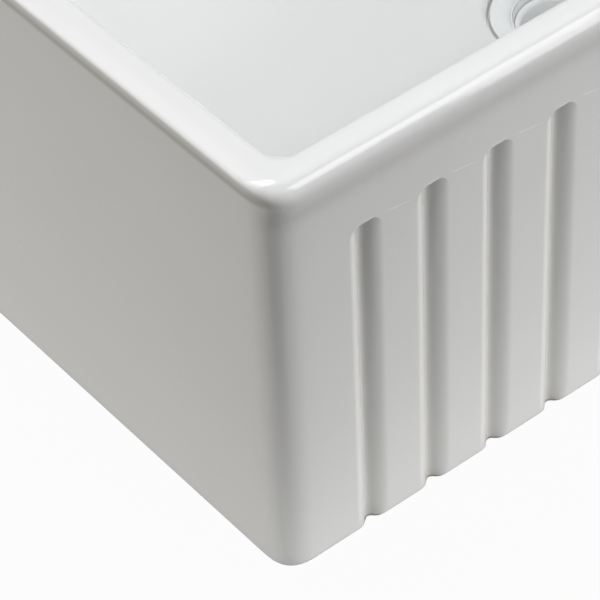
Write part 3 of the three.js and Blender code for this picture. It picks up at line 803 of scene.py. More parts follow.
class Paint:
    """The nodes of one finish."""

    def __init__(self, name):
        self.material = bpy.data.materials.new(name)
        self.material.use_nodes = True
        self.tree = self.material.node_tree
        self.tree.nodes.clear()
        self.here = self.node("ShaderNodeTexCoord").outputs["Object"]

    def node(self, kind, settings=None, sockets=None):
        """A new node. Its settings are set before its sockets are given values or links."""
        made = self.tree.nodes.new(kind)
        for name, value in (settings or {}).items():
            setattr(made, name, value)
        for name, value in (sockets or {}).items():
            socket = made.inputs[name]
            source = value.socket if isinstance(value, Signal) else value
            if isinstance(source, bpy.types.NodeSocket):
                self.tree.links.new(source, socket)
            else:
                socket.default_value = source
        return made

    def math(self, operation, *values):
        """A Math node on two values."""
        made = self.node("ShaderNodeMath", {"operation": operation}, dict(enumerate(values)))
        return Signal(self, made.outputs[0])

    def ramp(self, value, low, high):
        """0 below low and 1 above high, smoothly."""
        sockets = {"Value": value, "From Min": low, "From Max": high}
        made = self.node("ShaderNodeMapRange", {"interpolation_type": "SMOOTHSTEP"}, sockets)
        return Signal(self, made.outputs[0])

    def noise(self, scale, detail=2.0, roughness=0.5, where=None):
        """Fractal noise, in features for each metre."""
        sockets = {"Vector": where or self.here, "Scale": scale, "Detail": detail, "Roughness": roughness}
        return Signal(self, self.node("ShaderNodeTexNoise", None, sockets).outputs[0])

    def specks(self, scale, radius):
        """Round specks, one to some cells: 1 inside a speck and 0 outside."""
        cells = self.node("ShaderNodeTexVoronoi", {"feature": "F1"}, {"Vector": self.here, "Scale": scale})
        return 1 - self.ramp(Signal(self, cells.outputs["Distance"]), radius * 0.5, radius)

    def attribute(self, name):
        """A value kept at the points of the mesh."""
        return Signal(self, self.node("ShaderNodeAttribute", {"attribute_name": name}).outputs["Fac"])

    def mix(self, share, first, second):
        """A colour between two."""
        first, second = (c if isinstance(c, bpy.types.NodeSocket) else (*c, 1.0) for c in (first, second))
        return self.node("ShaderNodeMix", {"data_type": "RGBA"}, {0: share, 6: first, 7: second}).outputs[2]

    def along_axes(self, where):
        """The three numbers of a place."""
        parts = self.node("ShaderNodeSeparateXYZ", None, {0: where})
        return (Signal(self, parts.outputs[k]) for k in range(3))

    def around(self, stretch):
        """Distance from the waste's axis and height, for marks that run round a turned piece."""
        middle = (-WASTE_CENTRE[0] * MM, -WASTE_CENTRE[1] * MM, 0)
        moved = self.node("ShaderNodeMapping", None, {"Vector": self.here, "Location": middle})
        x, y, z = self.along_axes(moved.outputs[0])
        radius = (x * x + y * y) ** 0.5
        return self.node("ShaderNodeCombineXYZ", None, {0: radius, 2: z * stretch}).outputs[0]

    def bump(self, height, distance, **over):
        """A normal, or the Normal that is given, bent by a height of 0 to 1 times a distance in metres."""
        return self.node("ShaderNodeBump", None, {"Height": height, "Distance": distance, **over}).outputs[0]

    def finish(self, base, roughness, **others):
        """The shader, with what varies linked and what is the same all over set on its sockets."""
        others = {name.replace("_", " ").title().replace("Ior", "IOR"): value for name, value in others.items()}
        sockets = {"Base Color": base, "Roughness": roughness, **others}
        shader = self.node("ShaderNodeBsdfPrincipled", None, sockets)
        self.node("ShaderNodeOutputMaterial", None, {"Surface": shader.outputs[0]})
        return self.material


def tinted(base, factor):
    """A colour made lighter or darker, as three numbers."""
    return tuple(min(channel * factor, 1.0) for channel in base)


def glaze_finish(colours):
    """Glossy white glaze: faint drifts of tone, a soft swell, rare specks, and bare clay below, with painted
    shade in the flute hollows and in the fold under the rim, and a painted highlight along the land tops.
    """
    speck_colour, speck_strength, hollow_shade_strength = (0.42, 0.36, 0.27), 0.45, 0.5
    paint = Paint("fireclay_glaze")
    drift = paint.ramp(paint.noise(7.0, 3.0), 0.35, 0.65)
    white = paint.mix(drift, tinted(colours.glaze, 0.985), colours.glaze)
    thin = paint.attribute("thin")
    # Painted shade in the fold under the rim
    fold_shaded = paint.mix(thin, white, paint.mix(thin * thin, colours.glaze_shade, colours.glaze_thin))
    # Painted highlight along the land tops and down the flutes' left lips
    highlighted = paint.mix(paint.attribute("crease"), fold_shaded, colours.glaze_thick)
    # Painted shade in the bottoms of the flutes
    hollow_shaded = paint.mix(paint.attribute("pool") * hollow_shade_strength, highlighted, colours.glaze_pool)
    chosen = paint.ramp(paint.noise(23.0, 1.0), 0.66, 0.70)
    speck = paint.specks(95.0, 0.05) * chosen
    speckled = paint.mix(speck * speck_strength, hollow_shaded, speck_colour)
    grain = paint.noise(900.0, 4.0, 0.7)
    edge = paint.attribute("bare") + (paint.noise(160.0, 3.0) - 0.5) * 0.5
    bare = paint.ramp(edge, 0.4, 0.6)
    clay = paint.mix(paint.ramp(grain, 0.35, 0.65), tinted(colours.clay, 0.82), tinted(colours.clay, 1.1))
    body = paint.mix(bare, speckled, clay)
    swell = paint.noise(16.0, 1.0) * 0.8 + paint.noise(85.0, 2.0) * 0.2
    smooth = paint.bump(swell, 0.0006)
    rough = paint.bump(grain * bare, 0.0005, Normal=smooth)
    roughness = 0.05 + paint.noise(40.0, 2.0) * 0.05 + bare * 0.7
    return paint.finish(body, roughness, ior=1.5, normal=rough)


def enamel_finish(colours):
    """White enamel on metal, with an orange peel and slightly darker low spots."""
    paint = Paint("white_enamel")
    tone = paint.ramp(paint.noise(60.0, 3.0), 0.3, 0.7)
    white = paint.mix(tone, tinted(colours.enamel, 0.965), colours.enamel)
    peel = paint.bump(paint.noise(420.0, 2.0), 0.00012)
    return paint.finish(white, 0.09 + paint.noise(120.0, 2.0) * 0.08, ior=1.5, normal=peel)


def rubber_finish(name, base, dust):
    """Moulded rubber: a fine grain, scuffed lighter in places."""
    paint = Paint(name)
    scuffs = paint.ramp(paint.noise(140.0, 5.0, 0.65), 0.5, 0.75)
    body = paint.mix(scuffs * 0.5, base, dust)
    grain = paint.bump(paint.noise(2600.0, 2.0), 0.0001)
    return paint.finish(body, 0.62 + scuffs * 0.2, normal=grain)


def fibre_finish(colours):
    """Pressed fibre board: long pale and dark fibres over a brown ground."""
    paint = Paint("fibre_board")
    spread = paint.node("ShaderNodeMapping", None, {"Vector": paint.here, "Scale": (1.0, 4.0, 4.0)}).outputs[0]
    fibres = paint.ramp(paint.noise(700.0, 5.0, 0.7, spread), 0.35, 0.65)
    body = paint.mix(fibres, tinted(colours.fibre, 0.7), tinted(colours.fibre, 1.35))
    return paint.finish(body, 0.85 + fibres * 0.1, normal=paint.bump(fibres, 0.00015))


def brass_finish(colours):
    """Cast brass: a pebbled skin, darker where it has tarnished."""
    paint = Paint("cast_brass")
    tarnish = paint.ramp(paint.noise(55.0, 5.0, 0.6), 0.42, 0.7)
    body = paint.mix(tarnish, colours.brass, tinted(colours.brass, 0.62))
    pebbles = paint.noise(1300.0, 3.0, 0.6) * 0.7 + paint.noise(300.0, 2.0) * 0.3
    return paint.finish(body, 0.27 + tarnish * 0.2, metallic=1.0, normal=paint.bump(pebbles, 0.00018))


def nylon_finish(colours):
    """Moulded nylon with a satin skin and faint cloudiness."""
    paint = Paint("nylon")
    cloud = paint.ramp(paint.noise(150.0, 3.0), 0.35, 0.65)
    body = paint.mix(cloud, tinted(colours.nylon, 0.94), colours.nylon)
    return paint.finish(body, 0.38 + cloud * 0.12, normal=paint.bump(paint.noise(1800.0, 2.0), 0.00005))


def turned_steel_finish(name, base, roughness, spread):
    """Steel finished on a lathe: fine lines round its axis, and water marks that dull it a little."""
    paint = Paint(name)
    lines = paint.noise(5200.0, 3.0, 0.6, paint.around(0.6))
    marks = paint.ramp(paint.noise(110.0, 4.0), 0.5, 0.72)
    body = paint.mix(marks * 0.35, base, tinted(base, 0.82))
    dull = roughness + lines * spread + marks * 0.06
    return paint.finish(body, dull, metallic=1.0, normal=paint.bump(lines, 0.00002))


def finishes():
    """All finishes by the name of the record's slot, made once."""
    kept = {made["sink_finish"]: made for made in bpy.data.materials if made.get("sink_finish")}
    if kept:
        return kept
    colours = bpy.context.scene.sink_colours
    made = {
        "fireclay_glaze": glaze_finish(colours),
        "white_enamel": enamel_finish(colours),
        "white_rubber": rubber_finish("white_rubber", colours.white_rubber, dust=(0.55, 0.54, 0.51)),
        "black_rubber": rubber_finish("black_rubber", colours.black_rubber, dust=(0.09, 0.088, 0.085)),
        "fibre_board": fibre_finish(colours),
        "cast_brass": brass_finish(colours),
        "nylon": nylon_finish(colours),
        "polished_steel": turned_steel_finish("polished_steel", colours.steel, 0.07, 0.12),
        "spring_steel": turned_steel_finish("spring_steel", colours.spring, 0.2, 0.18),
    }
    for slot, material in made.items():
        material["sink_finish"] = slot
    return made


# ---------------------------------------------------------------- pieces


# Room between pieces that touch, and between pieces that slide or turn.
GAP, SLIDE = 0.3, 0.4

# The post's guide: its wall, the pocket for the clip, and its flange.
SLEEVE_WALL, POCKET_ROOM, GUIDE_FLANGE = 2.4, 1.6, 3

# The basket: its height, how far its foot lies inside the cup, its outer bend, and a height above it.
BASKET_HEIGHT, BASKET_INSET, BASKET_BEND, ABOVE_BASKET = 20, 6, 5, 40.0


def waste_piece(name, skin, slot, body, merge=False):
    """A piece of the waste that stands for the CAD node of the same name."""
    return place(name + "_made", skin.mesh(name, merge), slot, body, name)


def reach_of(node):
    """Bottom, top and outside radius of a CAD node that is turned about the waste's axis."""
    low, high = millimetres(node)
    return low[2], high[2], (high[0] - low[0]) / 2


def ring_skin(node, inner, rounding, segments=96):
    """A turned ring with a soft rectangular section, as tall and wide as the CAD node."""
    bottom, top, outer = reach_of(node)
    return Skin().add(turned(square_section(inner, outer, bottom, top, rounding), segments))


class SINK_OT_casting(Operator):
    """Builds the glazed fireclay casting with its rim, flutes, bowl and outlet"""

    bl_idname = "farmhouse_sink.casting"
    bl_label = "Fireclay casting"

    def execute(self, context):
        mesh = casting_skin(sizes_in_millimetres(context.scene.sink_casting)).mesh("fireclay_casting")
        place("fireclay_casting", mesh, "fireclay_glaze", "sink", "basin")
        return {"FINISHED"}


class SINK_OT_strainer(Operator):
    """Builds the strainer cup with its flange, threads and spider, and the seal below the flange"""

    bl_idname = "farmhouse_sink.strainer"
    bl_label = "Strainer and seal"

    def execute(self, context):
        w = sizes_in_millimetres(context.scene.sink_waste)
        seal_bore = 31.3
        waste_piece("flange_seal", ring_skin("flange_seal", seal_bore, 0.5, 128), "white_rubber", "sink")
        waste_piece("strainer_body", strainer_skin(w), "white_enamel", "sink")
        return {"FINISHED"}


def strainer_skin(w):
    """The cup as one turned loop with threads outside, and the spider as a hub and four arms."""
    bottom, top, flange = reach_of("strainer_body")
    below_flange, ledge, floor = top - 2, top - 9, top - 46
    corners = [
        [w.spout_bore, bottom, 0.5],
        [w.spout, bottom, 0.6],
        [w.spout, floor - 3, 1.5],
        [w.cup_radius, floor - 1, 1.2],
        [w.cup_radius, below_flange, 0.3],
        [flange, below_flange, 0.8],
        [flange, top, 0.9],
        [w.throat + 3, top, 4.0],
        [w.throat, top - 6, 2.5],
        [w.throat, ledge, 0.4],
        [w.cup_bore, ledge, 0.8],
        [w.cup_bore, floor + 2, 2.0],
        [w.spout_bore + 4.7, floor, 1.0],
        [w.spout_bore, floor, 0.8],
    ]
    cup_thread = thread(w.cup_radius, floor, -1.0, w.thread_pitch, w.thread_depth)
    spout_thread = thread(w.spout, bottom, bottom + 12, w.thread_pitch, w.thread_depth)
    profile = filled_in(softened(corners, 5), w.thread_pitch / 7)
    skin = Skin().add(turned(profile, 112, lambda *at: cup_thread(*at) + spout_thread(*at)))
    spider_bottom, spider_top, bore = bottom + 3, bottom + 6, w.post + SLIDE
    skin.add(turned(square_section(bore, bore + 2.5, spider_bottom, spider_top, 0.5), 48))
    for turn in np.arange(4) * QUARTER_TURN:
        arm = spider_arm(turn, bore + 1, (w.spout_bore + w.spout) / 2, spider_bottom, spider_top)
        skin.add(arm, wrap_rows=False)
    return skin


def spider_arm(turn, near, far, bottom, top):
    """A bar from near to far with a superellipse for a section, shut by end rows of no size."""
    half_width, squareness, no_size = 1.5, 4, 0.001
    angle = np.arange(24) / 24 * FULL_TURN
    cos, sin = np.cos(angle), np.sin(angle)
    across = half_width * np.sign(cos) * np.abs(cos) ** (2 / squareness)
    up = (top - bottom) / 2 * np.sign(sin) * np.abs(sin) ** (2 / squareness)
    along = np.concatenate([[near], np.linspace(near, far, 5), [far]])
    size = np.array([no_size, 1, 0.92, 0.88, 0.92, 1, no_size])
    x, y = along[:, None] + 0 * angle, size[:, None] * across
    z = (top + bottom) / 2 + size[:, None] * up
    cos_t, sin_t = np.cos(turn), np.sin(turn)
    return np.stack([WASTE_CENTRE[0] + x * cos_t - y * sin_t, WASTE_CENTRE[1] + x * sin_t + y * cos_t, z], -1)


class SINK_OT_fixings(Operator):
    """Builds the gasket, rings, nuts and tailpiece below the floor"""

    bl_idname = "farmhouse_sink.fixings"
    bl_label = "Fixings and tailpiece"

    def execute(self, context):
        w = sizes_in_millimetres(context.scene.sink_waste)
        round_cup, bore = w.cup_radius + GAP, w.spout_bore - w.tube_wall
        for name, skin, slot in (
            ("underside_gasket", ring_skin("underside_gasket", round_cup, 0.7), "black_rubber"),
            ("friction_ring", ring_skin("friction_ring", round_cup, 0.25), "fibre_board"),
            ("lock_nut", lock_nut_skin(round_cup), "cast_brass"),
            ("tailpiece_washer", ring_skin("tailpiece_washer", bore, 0.5), "nylon"),
            ("tailpiece", tailpiece_skin(w, bore), "polished_steel"),
            ("coupling_nut", coupling_nut_skin(w), "cast_brass"),
        ):
            waste_piece(name, skin, slot, "sink")
        return {"FINISHED"}


def lock_nut_skin(inner):
    """A ring whose outside is pushed out to four lugs.

    In each lug's own direction its end is the line x = reach and its sides are y = half width, so
    the radius is the least of reach / cos a and half width / sin a, and never less than the ring's.
    """
    bottom, top, _ = reach_of("lock_nut")
    outer, half_lug, least_sine = inner + 8.5, 6.5, 1e-3
    reach = outer + 7
    profile = square_section(inner, outer, bottom, top, (0.8, 1.4, 1.4, 0.8), 5)

    def push(angle, radius, height):
        turn = np.abs(angle % QUARTER_TURN - QUARTER_TURN / 2)
        end = reach / np.cos(turn)
        side = half_lug / np.maximum(np.sin(turn), least_sine)
        lug = end - smooth_most(end - side, np.zeros_like(end), 1.2)
        out = smooth_most(lug - outer, np.zeros_like(lug), 1.6)
        return out * smoothstep(radius, inner + 2, outer - 1.4)

    return Skin().add(turned(profile, 320, push))


def tailpiece_skin(w, bore):
    """The flanged tube, with a rolled rim at its foot."""
    bottom, top, flange = reach_of("tailpiece")
    radius, below_flange = bore + w.tube_wall, top - 1.5
    corners = [
        [bore, bottom, 0.45],
        [radius, bottom, 0.45],
        [radius, below_flange, 1.0],
        [flange, below_flange, 0.6],
        [flange, top, 0.6],
        [bore, top, 1.2],
    ]
    return Skin().add(turned(filled_in(softened(corners), 9.0)))


def coupling_nut_skin(w):
    """A nut with eight round grips: its outside is drawn in by 2 mm between them, least at its ends."""
    bottom, top, _ = reach_of("coupling_nut")
    tube, bore, outer, step = w.spout_bore + SLIDE, w.spout + SLIDE, w.spout + 5.4, bottom + 2.5
    corners = [
        [tube, bottom, 0.4],
        [outer, bottom, 1.6],
        [outer, top, 1.2],
        [bore, top, 0.6],
        [bore, step, 0.4],
        [tube, step, 0.4],
    ]
    grips, grip_depth = 8, 2.0

    def push(angle, radius, height):
        valley = (0.5 - 0.5 * np.cos(angle * grips)) ** 1.5
        soft = smoothstep(height, bottom + 0.5, bottom + 4) * (1 - 0.6 * smoothstep(height, top - 4, top))
        return -grip_depth * valley * smoothstep(radius, outer - 2, outer - 0.6) * (0.35 + 0.65 * soft)

    return Skin().add(turned(filled_in(softened(corners, 5), 3.0), 192, push))


class SINK_OT_basket(Operator):
    """Builds the perforated basket, the post guide in its floor and the spring clip in the guide"""

    bl_idname = "farmhouse_sink.basket"
    bl_label = "Basket, guide and clip"

    def execute(self, context):
        w = sizes_in_millimetres(context.scene.sink_waste)
        basket = waste_piece("basket_bowl", basket_skin(w), "white_enamel", "basket", merge=True)
        shell = basket.modifiers.new("sheet", "SOLIDIFY")
        shell.thickness = w.sheet * MM
        shell.offset = 0.0
        shell.use_even_offset = True
        soft = basket.modifiers.new("soft_edge", "BEVEL")
        soft.width = 0.25 * MM
        soft.segments = 2
        soft.limit_method = "ANGLE"
        soft.angle_limit = float(np.radians(50))
        waste_piece("post_guide", guide_skin(w), "polished_steel", "basket")
        waste_piece("detent_clip", clip_skin(w), "spring_steel", "basket", merge=True)
        return {"FINISHED"}


def basket_line(w):
    """The middle of the basket's sheet as a polyline: floor, bend, wall and rim, with its lengths."""
    bottom, top, widest = reach_of("basket_bowl")
    half, rim_bend, rim_steps = w.sheet / 2, 1.1, 6
    floor, rim, bend = bottom + half, top - half, BASKET_BEND - half
    start, flat_end = w.post + SLIDE + SLEEVE_WALL + GAP, w.cup_bore - BASKET_INSET - BASKET_BEND
    angle = np.radians(np.linspace(-90, -15, 14))
    round_part = np.stack([flat_end + bend * np.cos(angle), floor + bend + bend * np.sin(angle)], -1)
    corner, edge = np.array([[w.cup_bore - SLIDE - half, rim], [widest, rim]])
    rim_part = fillet(round_part[-1], corner, edge, rim_bend, rim_steps)
    line = np.concatenate([[[start, floor]], round_part, rim_part, [edge]])
    lengths = np.concatenate([[0], np.cumsum(np.linalg.norm(np.diff(line, axis=0), axis=1))])
    return line, lengths


def basket_skin(w):
    """The basket as bands of one sheet, from its hole for the guide to its rim.

    A plain band is rings of the line turned about the axis. A band with holes is cells: each is a
    grid whose rows go from a circle to the cell's frame, both met at the same angle.
    """
    line, lengths = basket_line(w)
    columns, cell_rows, hole_rows, crowding = 168, 10, 6, 1.4
    skin = Skin()

    def lay(run, angle):
        radius, height = np.interp(run, lengths, line[:, 0]), np.interp(run, lengths, line[:, 1])
        add_sheet(skin, round_waste(radius, angle, height))

    def plain(start, end, steps):
        run, angle = np.linspace(start, end, steps + 1), np.arange(columns) / columns * FULL_TURN
        lay(*np.meshgrid(run, angle, indexing="ij"))

    def holed(middle, half, count, turn):
        wide, step = columns // count, FULL_TURN / count
        half_across = step * np.interp(middle, lengths, line[:, 0]) / 2
        side, rise = (np.linspace(-1, 1, parts + 1)[:-1] for parts in (wide, cell_rows))
        frame_u = np.concatenate([side, np.ones(cell_rows), -side, -np.ones(cell_rows)])
        frame_v = np.concatenate([-np.ones(wide), rise, np.ones(wide), -rise])
        to_frame = np.arctan2(frame_v * half, frame_u * half_across)
        hole_u, hole_v = w.hole * np.cos(to_frame) / half_across, w.hole * np.sin(to_frame) / half
        share = (np.linspace(0, 1, hole_rows) ** crowding)[:, None]
        u, v = hole_u + (frame_u - hole_u) * share, hole_v + (frame_v - hole_v) * share
        for cell in range(count):
            lay(middle + v * half, (cell + turn) * step + u * step / 2)

    start, foot, half_band, bend_top, rim_points = line[0, 0], w.cup_bore - BASKET_INSET, 3, 3, 8
    ring_one, ring_two = 0.54 * foot - start, 0.79 * foot - start
    between = (ring_one + ring_two) / 2
    middle_height = reach_of("basket_bowl")[1] - BASKET_HEIGHT + BASKET_HEIGHT / 2
    is_wall = (line[:, 1] > line[0, 1] + bend_top) & (np.arange(len(line)) < len(line) - rim_points)
    wall_run = np.interp(middle_height, line[is_wall, 1], lengths[is_wall])
    plain(0, 2 * ring_one - between, 2)
    holed(ring_one, between - ring_one, 8, 0.5)
    holed(ring_two, ring_two - between, 12, 0.5)
    plain(2 * ring_two - between, wall_run - half_band, 8)
    holed(wall_run, half_band, 14, 0.0)
    plain(wall_run + half_band, lengths[-1], 14)
    return skin


def add_sheet(skin, grid):
    """Adds an open patch that closes on itself round its rows, and faces the inside of the basket."""
    points = grid.reshape(-1, 3)
    quads = grid_quads(*grid.shape[:2], False, True)
    a, b, d = points[quads[:, 0]], points[quads[:, 1]], points[quads[:, 3]]
    inside = np.append(WASTE_CENTRE, ABOVE_BASKET)
    if np.einsum("ij,ij->i", np.cross(b - a, d - a), inside - a).sum() < 0:
        quads = quads[:, ::-1]
    skin.join(points, quads)


def guide_skin(w):
    """The riveted sleeve with its two flanges and the clip's pocket, as one turned loop."""
    bottom, top, _ = reach_of("post_guide")
    bore = w.post + SLIDE
    sleeve = bore + SLEEVE_WALL
    pocket, pocket_floor = sleeve - SLEEVE_WALL + POCKET_ROOM, top - 2
    flange, rivet = sleeve + GUIDE_FLANGE, sleeve + GUIDE_FLANGE - 1
    sheet_low = reach_of("basket_bowl")[0]
    below, above = sheet_low - GAP, sheet_low + w.sheet + GAP
    corners = [
        [bore, bottom, 0.4],
        [rivet, bottom, 0.5],
        [rivet, below, 0.2],
        [sleeve, below, 0.1],
        [sleeve, above, 0.1],
        [flange, above, 0.2],
        [flange, above - GAP + 1.5, 0.6],
        [sleeve, above - GAP + 1.5, 0.8],
        [sleeve, top, 0.5],
        [pocket, top, 0.2],
        [pocket, pocket_floor, 0.1],
        [bore, pocket_floor, 0.3],
    ]
    return Skin().add(turned(softened(corners), 64))


def clip_skin(w):
    """An open spring ring: a soft rectangular section swept round, shut by end rows of no size."""
    bottom, top, _ = reach_of("detent_clip")
    bore, half_gap = w.post + SLIDE, np.radians(25)
    profile = square_section(bore - SLIDE / 3, bore + POCKET_ROOM - GAP, bottom, top, 0.3)
    angles = np.linspace(half_gap, FULL_TURN - half_gap, 65)
    shut = turned(profile.mean(0)[None], angles=angles[[0, -1]])[0]
    ends = [np.repeat(point[None, None], len(profile), 0) for point in shut]
    grid = np.concatenate([ends[0], turned(profile, angles=angles), ends[1]], 1)
    return Skin().add(grid, wrap_columns=False)


class SINK_OT_stopper(Operator):
    """Builds the post with its knob, plate, rubber and nut"""

    bl_idname = "farmhouse_sink.stopper"
    bl_label = "Stopper"

    def execute(self, context):
        w = sizes_in_millimetres(context.scene.sink_waste)
        bore = w.post + GAP
        waste_piece("stopper_post", post_skin(w), "polished_steel", "stopper", merge=True)
        waste_piece("stopper_knob", knob_skin(bore), "polished_steel", "stopper", merge=True)
        waste_piece("backing_plate", ring_skin("backing_plate", bore, 0.35), "polished_steel", "stopper")
        waste_piece("stopper_seal", seal_skin(bore), "black_rubber", "stopper")
        waste_piece("post_nut", post_nut_skin(bore), "spring_steel", "stopper")
        return {"FINISHED"}


def post_skin(w):
    """The post: a turned rod with chamfered ends and a thread on its lowest part."""
    bottom, top, _ = reach_of("stopper_post")
    corners = [[0, bottom, 0], [w.post, bottom, 0.8], [w.post, top, 0.4], [0, top, 0]]
    profile = filled_in(softened(corners, closed=False), 0.5, closed=False)
    cut = thread(w.post, bottom, bottom + 16, pitch=0.8, depth=0.22)
    return Skin().add(turned(profile, 48, cut), wrap_rows=False)


def knob_skin(socket):
    """The knob: a waisted stem under a domed cap with a rolled edge, and a socket for the post.

    Above its edge the cap is a quarter ellipse: radius = cap * cos a and height = edge + third * sin a.
    """
    bottom, top, cap = reach_of("stopper_knob")
    third = (top - bottom) / 3
    edge, socket_top = bottom + 2 * third, bottom + 8
    corners = [
        [0, socket_top, 0],
        [socket, socket_top, 0.3],
        [socket, bottom, 0.3],
        [5.5, bottom, 0.7],
        [4.5, bottom + third, 3.0],
        [cap - 2, edge - 1.9, 0.8],
        [cap, edge, 0.9],
        [cap, edge + 0.4, 0],
    ]
    dome = np.radians(np.linspace(0, 90, 17))[1:]
    domed = np.stack([cap * np.cos(dome), top - third + third * np.sin(dome)], -1)
    domed[-1, 0] = 0
    profile = np.concatenate([softened(corners, 5, closed=False), domed])
    return Skin().add(turned(profile, 72), wrap_rows=False)


def seal_skin(inner):
    """The rubber disc: a soft lower edge, a cone up to the plate, and a hole for the post."""
    bottom, top, outer = reach_of("stopper_seal")
    cone_top = 17
    corners = [
        [inner, bottom, 0.2],
        [outer - 0.8, bottom, 0.9],
        [outer, bottom + 1.2, 0.6],
        [outer, bottom + 2, 0.5],
        [cone_top, top, 1.2],
        [inner, top, 0.2],
    ]
    return Skin().add(turned(softened(corners)))


def post_nut_skin(inner):
    """A hexagon nut: the radius is the flat's distance / cos of the angle from it, and no more than
    a cone allows, which turns the corners down at both faces."""
    low, high = millimetres("post_nut")
    bottom, top, flat, twelfth = low[2], high[2], (high[1] - low[1]) / 2, np.pi / 6
    corner = flat / np.cos(twelfth)
    profile = filled_in(square_section(inner, flat, bottom, top, 0.15), 0.4)

    def push(angle, radius, height):
        from_corner = np.abs((angle + twelfth) % (2 * twelfth) - twelfth)
        hexagon = flat / np.cos(twelfth - from_corner)
        from_face = np.minimum(height - bottom, top - height)
        allowed = np.minimum(hexagon, corner - 0.9 + 1.6 * from_face)
        return np.maximum(allowed - flat, 0) * smoothstep(radius, inner + 0.6, flat - 0.1)

    return Skin().add(turned(profile, 144, push))


# ---------------------------------------------------------------- stage


WHITE, BLACK, SKY = (1.0, 1.0, 1.0, 1.0), (0.0, 0.0, 0.0, 1.0), (0.93, 0.94, 0.95, 1.0)
COOL, PLAIN, WARM = (0.98, 0.985, 1.0), (1.0, 0.99, 0.99), (1.0, 0.965, 0.91)

# The lights are aimed at this point, in metres. Each has its turn and lift in degrees, its size
# in metres and its tint.
LIGHT_AIM = Vector((-0.15, 0.05, 0.15))
LIGHTS = (
    ("top_light", 0, 90, (1.0, 1.0), COOL),
    ("high_left_light", 270, 62, (1.2, 1.2), COOL),
    ("high_right_light", 54, 62, (1.2, 1.2), COOL),
    ("high_back_light", 180, 62, (1.2, 1.2), COOL),
    ("key_light", 54, 8, (2.4, 1.2), PLAIN),
    ("front_light", 34, 30, (1.2, 0.8), PLAIN),
    ("left_light", 276, 14, (1.2, 1.2), WARM),
    ("corner_light", 324, 8, (1.2, 1.2), WARM),
    ("rim_light", 238, 18, (2.0, 1.6), WARM),
    ("back_light", 200, 30, (1.2, 1.2), WARM),
)


class SINK_OT_stage(Operator):
    """Lays the floor, hangs the lights and sets up the camera"""

    bl_idname = "farmhouse_sink.stage"
    bl_label = "Floor, lights and camera"

    def execute(self, context):
        settings = context.scene.sink_stage
        lay_floor(settings)
        hang_lights(settings)
        set_up_camera(settings)
        context.scene.view_settings.view_transform = "Standard"
        return {"FINISHED"}


def lay_sheet(name, level, material):
    """A wide level sheet that is part of the stage."""
    reach = 9000.0
    x, y = np.meshgrid([-reach, reach], [reach, -reach], indexing="ij")
    points = np.stack([x, y, np.full_like(x, level)], -1).reshape(-1, 3)
    sheet = link(name, Skin().join(points, grid_quads(2, 2, False, False)).mesh(name))
    sheet.data.materials.append(material)
    return sheet


def lay_floor(settings):
    """A pale floor that the camera sees, and a sheet at the sink's base that lights it from below.

    The floor's own light is met only by rays that reach it by chance, so it lights the waste that
    hangs between the two, and nothing above the sheet.
    """
    gap, brightness = 0.5, 0.96
    level = min(CAD_BOX[0].z, 0.0) / MM - gap
    stage = bpy.context.scene.sink_colours.stage
    paint = Paint("studio_floor")
    tone = paint.mix(paint.noise(1.5, 2.0), tinted(stage, 0.96), stage)
    seen = paint.finish(tone, 0.6, emission_color=WHITE, emission_strength=brightness, specular_ior_level=0.0)
    seen.cycles.emission_sampling = "NONE"
    lay_sheet("floor", level, seen)
    glow = lay_sheet("floor_glow", -settings.glow_drop / MM, glow_finish(settings))
    glow.visible_camera = False
    glow.visible_shadow = False


def glow_finish(settings):
    """Light from the floor: full at the sink's outline, and fading to none at the glow's reach.

    With (dx, dy) = (max(|x| - w, 0), max(|y| - d, 0)), x and y from the middle of the sink, and w and
    d half its width and depth, the distance is the length of (dx, dy) and (ux, uy) is its direction.
    The share ux ** 4 goes from the strength and reach before the apron to those beside the sink,
    and a ramp of ux * uy from both to those off a corner. Under the sink only a little is left.
    """
    paint = Paint("floor_glow")
    middle, half = (CASTING_LOW + CASTING_HIGH) / 2 * MM, (CASTING_HIGH - CASTING_LOW) / 2 * MM
    x, y, _ = paint.along_axes(paint.here)
    beyond = []
    for k, axis in enumerate((x, y)):
        from_middle = paint.math("ABSOLUTE", axis - float(middle[k]))
        beyond.append(paint.math("MAXIMUM", from_middle - float(half[k]), 0.0))
    distance = (beyond[0] * beyond[0] + beyond[1] * beyond[1]) ** 0.5
    along_x, along_y = (part / paint.math("MAXIMUM", distance, MM) for part in beyond)
    beside, off_corner = along_x**4, paint.ramp(along_x * along_y, 0.1, 0.3)

    def blend(front, side, corner):
        straight = beside * (side - front) + front
        return straight + off_corner * (corner - straight)

    strength = blend(settings.front_glow, settings.side_glow, settings.corner_glow)
    reach = blend(settings.front_reach, settings.side_reach, settings.corner_reach)
    outside = paint.ramp(distance, 0.0, 2 * MM)
    lit = (1 - paint.ramp(distance / reach, 0.0, 1.0)) * strength
    shade = paint.mix(lit * outside + (1 - outside) * settings.under_glow, BLACK[:3], (1.0, 0.99, 0.98))
    return paint.finish(BLACK, 1.0, emission_color=shade, emission_strength=1.0)


def hang_light(name, turn, lift, size, tint, settings):
    """A soft rectangular light, turned from the front to the right and lifted above the horizon."""
    lamp = bpy.data.lights.new(name, "AREA")
    lamp.shape = "RECTANGLE"
    lamp.size, lamp.size_y = size
    lamp.energy = getattr(settings, name)
    lamp.color = tint
    holder = link(name, lamp)
    turn, lift = np.radians(turn), np.radians(lift)
    away = Vector((np.sin(turn) * np.cos(lift), -np.cos(turn) * np.cos(lift), np.sin(lift)))
    holder.location = LIGHT_AIM + away * settings.light_distance
    holder.rotation_euler = (-away).to_track_quat("-Z", "Y").to_euler()
    holder.visible_camera = False


